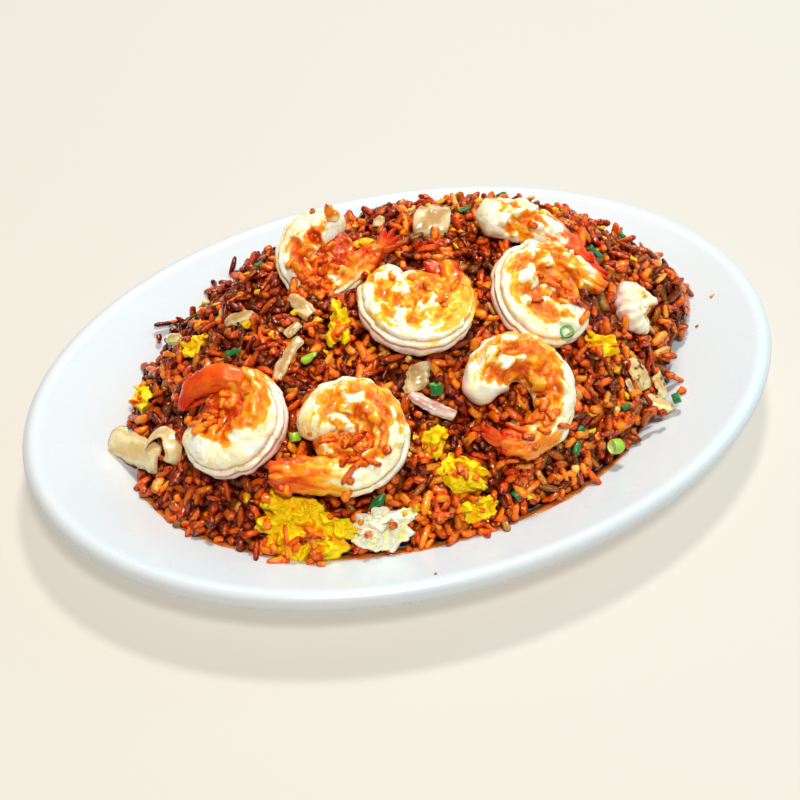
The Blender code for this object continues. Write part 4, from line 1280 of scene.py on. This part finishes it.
def scallion_shell(form, size, seed):
    """A cut of scallion about the given size across, lying in its seat's plane."""
    if form in ("leaf", "sliver"):
        wide = size * (0.5 if form == "leaf" else 0.22)
        t = np.linspace(-0.5, 0.5, 16)
        line = np.stack([size * t, 0.6 * np.sin(t * 4 + seed), 0.9 * np.cos(t * 3.4 + seed * 0.7)], axis=-1)
        facing = np.stack([np.zeros(16), 0.5 * np.sin(t * 5 + seed), np.ones(16)], axis=-1)
        shell = strip_shell(line, facing, wide, 0.7, seed, 0.22, 3, 0.4)
        return Shell(shell.points, shell.quads, shell.triangles, rind=0.9)
    radius = size / 2 if form == "ring" else size * 0.40
    height = size * (0.32 if form == "ring" else 0.62)
    wall = radius * 0.30
    around = np.arange(22) * (math.tau / 22)
    section = np.arange(10) * (math.tau / 10)
    rings, rind = [], []
    for angle in around:
        squash = 1 + 0.10 * math.sin(angle * 2 + seed)
        out = np.array([math.cos(angle) * squash, math.sin(angle) / squash, 0])
        reach = radius - wall / 2 + wall / 2 * np.sign(np.cos(section)) * np.abs(np.cos(section)) ** 0.5
        rise = height / 2 * np.sign(np.sin(section)) * np.abs(np.sin(section)) ** 0.4
        rings.append(out * reach[:, None] + np.array([0, 0, 1]) * rise[:, None])
        rind.append(smooth(np.cos(section), -0.2, 0.7))
    return hoop(np.array(rings) * MM, rind=np.array(rind))


def crumb_shell(size, seed):
    """A lumpy crumb."""
    rings = []
    for turn in np.linspace(0.2, math.pi - 0.2, 7):
        around = np.arange(11) * (math.tau / 11)
        rings.append(np.stack([
            np.sin(turn) * np.cos(around), np.sin(turn) * np.sin(around), np.full(11, math.cos(turn)),
        ], axis=-1))
    shell = tube(rings)
    swell = 0.9 + 0.9 * lumps(shell.points, 0.9, seed) + 0.6 * lumps(shell.points, 0.4, seed + 1)
    draw = np.random.default_rng(seed)
    shell.points = shell.points * swell[:, None] * np.array([1, draw.uniform(0.45, 0.9), 0.42]) * size / 2 * MM
    # dents in a crumb are marked hollow, which the egg finish paints darker as shade
    shell.marks["hollow"] = smooth(swell, 1.0, 0.6)
    return shell


def place_shell(shell, x, y, turn, lift, toppings, tilt=0.25, z=0.0, facing=None):
    """Lays a small piece on whatever is under it, or leaves it at a given height."""
    place, normal = top_at(x * MM, y * MM, toppings)
    if z:
        place[2] = z * MM
    if facing is not None:
        normal = unit(np.array(facing, float))
    axes = axes_on(normal, math.radians(turn), rng.uniform(-tilt, tilt), rng.uniform(-tilt, tilt))
    shell.points = shell.points @ axes.T + place + normal * lift * MM
    return shell


def make_scallion(toppings):
    deep, pale = [], []
    for seed, (form, x, y, z, turn, size, green) in enumerate(SCALLION):
        lift = 2.0 if form in ("leaf", "sliver") else 1.6 + (size * 0.2 if form == "tube" else 0)
        shell = scallion_shell(form, size * 0.8, seed)
        if form == "tube":
            shell.points = shell.points @ np.array(Matrix.Rotation(math.radians(78), 3, "Y")).T
        facing = (-0.2, -0.5, 0.85) if form == "ring" and z else None
        placed = place_shell(shell, x, y, turn, lift * (0.4 if z else 1.0), toppings, 0.25, z, facing)
        (deep if green > 0.5 else pale).append(placed)
    make_piece("scallion_deep", join(deep), scallion_finish("scallion_deep", srgb(110, 190, 70), srgb(8, 112, 40)))
    make_piece("scallion_pale", join(pale), scallion_finish("scallion_pale", srgb(226, 232, 130), srgb(160, 206, 40)))


def make_scraps(toppings):
    """Loose scraps of onion too small to be pieces of their own."""
    scraps = []
    for x, y, z, turn, length, width in ((-83.4, 33.0, 45.5, -60, 10, 5), (-45, 3, 0, 20, 7, 4), (74, -44, 0, -50, 7, 4),
                                         (6, 44, 0, 60, 8, 4.5), (60, 50, 0, 10, 7, 4), (-30, 62, 0, -30, 8, 4)):
        line, facing = bent_line(length, 30, 20)
        scrap = strip_shell(line, facing, width, 0.8, x, 0.2, 5, 0.5)
        scraps.append(place_shell(scrap, x, y, turn, 1.6, toppings, 0.2, z))
    make_piece("onion_scraps", join(scraps), onion_finish("onion_scraps", srgb(232, 212, 160), srgb(192, 148, 88)))


def make_crumbs(toppings):
    """Crumbs of egg and of browned bits all over the heap."""
    yellow, brown = [], []
    while len(yellow) + len(brown) < CRUMBS:
        x, y = rng.uniform(-116, 126), rng.uniform(-82, 86)
        spot_x, spot_y = np.array([x * MM]), np.array([y * MM])
        if heap_height(spot_x, spot_y)[0] < dish_height(spot_x, spot_y)[0] + 8 * MM:
            continue
        size = rng.uniform(1.6, 4.6)
        if top_at(x * MM, y * MM, toppings)[0][2] > heap_height(spot_x, spot_y)[0] + 2 * MM and rng.random() < 0.85:
            continue
        shell = place_shell(crumb_shell(size, int(rng.integers(1000))), x, y, rng.uniform(0, 360),
                            rng.uniform(0.8, 1.8), toppings, 0.6)
        (yellow if rng.random() < 0.55 else brown).append(shell)
    for x, y, z, size, group in ((134.5, -4.8, 0, 2.0, yellow), (122.5, -14.8, 0, 1.6, brown),
                                 (-30, -98, 0, 1.2, brown), (-6.9, 25.5, 76, 6.5, yellow),
                                 (-9.5, 26.5, 75, 5.0, yellow)):
        group.append(place_shell(crumb_shell(size, int(x + 200)), x, y, 0, 0.4, toppings, 0.25, z))
    make_piece("egg_crumbs", join(yellow), egg_finish("egg_crumbs", srgb(255, 236, 40), srgb(252, 192, 12),
                                                      srgb(224, 120, 10)))
    make_piece("browned_bits", join(brown), egg_finish("browned_bits", srgb(240, 160, 60), srgb(204, 100, 20),
                                                       srgb(130, 48, 8)))


def make_edge_oil():
    """A thin film of oil on the dish along the edge of the rice."""
    sides = 320
    angle = np.arange(sides) * (math.tau / sides)
    reach = np.arange(14 * MM, 60 * MM, 0.25 * MM)[:, None]
    x = (HALF_LENGTH - reach) * np.cos(angle)
    y = (HALF_WIDTH - reach * SIDE_SHARE) * np.sin(angle)
    covered = heap_height(x, y) > dish_height(x, y) + 1.2 * MM
    edge = reach[np.argmax(covered, axis=0), 0]
    rim = np.stack([np.cos(angle), np.sin(angle), np.zeros(sides)], axis=-1)
    near = smooth(-rim[:, 1] - 0.5 * rim[:, 0], 0.1, 0.8)
    run = (1.5 + 2.0 * np.clip(lumps(rim, 0.12, 4) + 0.2, 0, 1) + 0.8 * lumps(rim, 0.03, 6)) * near * MM
    run = run - 5.0 * (1 - near) * MM
    rings = []
    for k in range(sides):
        outer = edge[k] - run[k]
        inner = outer + 5.5 * MM
        ring = []
        for share, thick in ((0, 0.06), (0.12, 0.22), (0.4, 0.34), (1.0, 0.40), (1.0, 0.05), (0.4, 0.05)):
            inset = outer + (inner - outer) * share
            spot_x = (HALF_LENGTH - inset) * math.cos(angle[k])
            spot_y = (HALF_WIDTH - inset * SIDE_SHARE) * math.sin(angle[k])
            ring.append((spot_x, spot_y, float(np.interp(inset, DISH_INSETS, DISH_HEIGHTS)) + thick * MM))
        rings.append(ring)
    make_piece("edge_oil", hoop(np.array(rings)), sauce_finish())


# ---------------------------------------------------------------- putting it together

def make_core(toppings):
    """Packed rice under the loose grains: a knobbly dome on the dish, hollowed under the toppings."""
    sides, rounds = 130, 36
    angle = np.arange(sides) * (math.tau / sides)
    shares = np.linspace(0.03, 1.0, rounds)
    insets = np.full(sides, 20 * MM)
    for k, turn in enumerate(angle):
        reach = np.arange(20 * MM, 60 * MM, 0.5 * MM)
        x = (HALF_LENGTH - reach) * math.cos(turn)
        y = (HALF_WIDTH - reach * SIDE_SHARE) * math.sin(turn)
        covered = heap_height(x, y) > dish_height(x, y) + 2.2 * MM
        insets[k] = reach[np.argmax(covered)] + 2.5 * MM
    rim_x = (HALF_LENGTH - insets) * np.cos(angle)
    rim_y = (HALF_WIDTH - insets * SIDE_SHARE) * np.sin(angle)
    x, y = shares[:, None] * rim_x, shares[:, None] * rim_y
    normals = surface_normals(heap_height, x, y, 2 * MM)
    dish = dish_height(x, y)
    heap = heap_height(x, y)
    depth = np.clip((heap - dish - 1.2 * MM) * normals[..., 2], 0, BED_DEPTH)
    top = np.stack([x, y, heap], axis=-1) - normals * depth[..., None]
    flat = top.reshape(-1, 3)
    relief = (folds(flat, 3.0 * MM, 3) * 0.8 + lumps(flat, 7 * MM, 5) * 0.8).reshape(rounds, sides)
    top = top + normals * (relief * 0.8 * MM * smooth(depth, 0, 3 * MM))[..., None]
    for index in np.ndindex(rounds, sides):
        hit, _, _, _ = toppings.ray_cast(Vector((top[index][0], top[index][1], 0.002)), Vector((0, 0, 1)), 0.1)
        if hit is not None:
            top[index][2] = min(top[index][2], hit.z - 0.6 * MM)
    top[..., 2] = np.maximum(top[..., 2], dish_height(top[..., 0], top[..., 1]) + 0.8 * MM)
    low = top.copy()
    low[..., 2] = dish_height(low[..., 0], low[..., 1]) + 0.4 * MM
    shell = tube(np.concatenate([low, top[::-1]]))
    make_piece("rice_core", shell, core_finish(), "rice_heap")


def make_light(name, place, target, size, power, colour):
    lamp = bpy.data.lights.new(name, "AREA")
    lamp.shape = "DISK"
    lamp.size = size
    lamp.energy = power
    lamp.color = colour
    light = bpy.data.objects.new(name, lamp)
    light.location = place
    light.rotation_euler = (Vector(target) - Vector(place)).to_track_quat("-Z", "Y").to_euler()
    bpy.context.scene.collection.objects.link(light)


def make_studio():
    """Pale table, soft lights and the camera."""
    half = 1.6
    corners = np.array([(-half, -half, 0), (half, -half, 0), (half, half, 0), (-half, half, 0)], float)
    mesh = bpy.data.meshes.new("table_top")
    mesh.from_pydata(corners.tolist(), [], [(0, 1, 2, 3)])
    mesh.materials.append(floor_finish())
    table = bpy.data.objects.new("table_top", mesh)
    bpy.context.scene.collection.objects.link(table)

    world = bpy.data.worlds.new("studio")
    bpy.context.scene.world = world
    world.use_nodes = True
    world.node_tree.nodes["Background"].inputs["Color"].default_value = (0.95, 0.97, 1.0, 1)
    world.node_tree.nodes["Background"].inputs["Strength"].default_value = 0.16

    middle = (0, 0, 0.03)
    make_light("key", (0.315, 0.525, 1.535), middle, 0.26, 18.0, (1.0, 0.96, 0.93))
    make_light("cool_side", (1.28, 0.08, 0.99), middle, 0.9, 7.2, (0.08, 0.68, 1.0))
    make_light("warm_front", (-0.16, -0.80, 1.53), middle, 0.26, 19.0, (1.0, 0.95, 0.88))

    scene = bpy.context.scene
    scene.view_settings.view_transform = "Standard"
    camera = bpy.data.cameras.new("camera")
    camera.lens = 76.5
    camera.sensor_width = 36.0
    holder = bpy.data.objects.new("camera", camera)
    place, target = Vector((-0.18294, -0.43659, 0.50169)), Vector((-0.00975, -0.01564, 0.030))
    holder.location = place
    holder.rotation_euler = (target - place).to_track_quat("-Z", "Y").to_euler()
    bpy.context.scene.collection.objects.link(holder)
    scene.camera = holder


def main():
    make_studio()
    make_platter()

    shells = {name: shrimp_shell(name) for name in SHRIMP}
    shells.update({name: egg_shell(name) for name in EGG})
    shells.update({name: onion_shell(name) for name in ONION})
    toppings = tree_of(list(shells.values()))

    for name, (_, glaze, red, _, _, _) in SHRIMP_LOOK.items():
        make_piece(name + "_flesh", shells[name], shrimp_finish(name + "_flesh", glaze[3], red, TAIL_RED.get(name, 0.0)), name)
    yolk = egg_finish("egg_yellow", srgb(255, 238, 22), srgb(255, 214, 6), srgb(250, 148, 4))
    white = egg_finish("egg_white", srgb(255, 255, 250), srgb(255, 255, 222), srgb(255, 240, 110))
    for name in EGG:
        make_piece(name + "_curd", shells[name], white if name == "egg_front_white" else yolk, name)
    plain = onion_finish("onion_soft", srgb(246, 232, 184), srgb(224, 192, 124))
    browned = onion_finish("onion_browned", srgb(232, 212, 160), srgb(192, 148, 88))
    pink = onion_finish("onion_rosy", srgb(240, 220, 206), srgb(206, 150, 132))
    burnt = onion_finish("onion_burnt", srgb(240, 222, 160), srgb(224, 176, 100), 0.95)
    for name in ONION:
        finish = pink if name == "onion_pink" else burnt if "charred" in name else browned
        if "left" in name and "upper" not in name:
            finish = plain
        make_piece(name + "_strip", shells[name], finish, name)

    make_core(toppings)
    grains = Grains()
    lay_grains(grains, toppings)
    lay_loose_grains(grains, toppings)
    make_scallion(toppings)
    make_crumbs(toppings)
    make_edge_oil()
    make_scraps(toppings)
    for kind in KINDS:
        make_piece("grains_" + kind, grains.shell(kind), grain_finish("grains_" + kind, *KIND_COLOURS[kind]))
    print("grains laid:", len(grains.rows))


main()
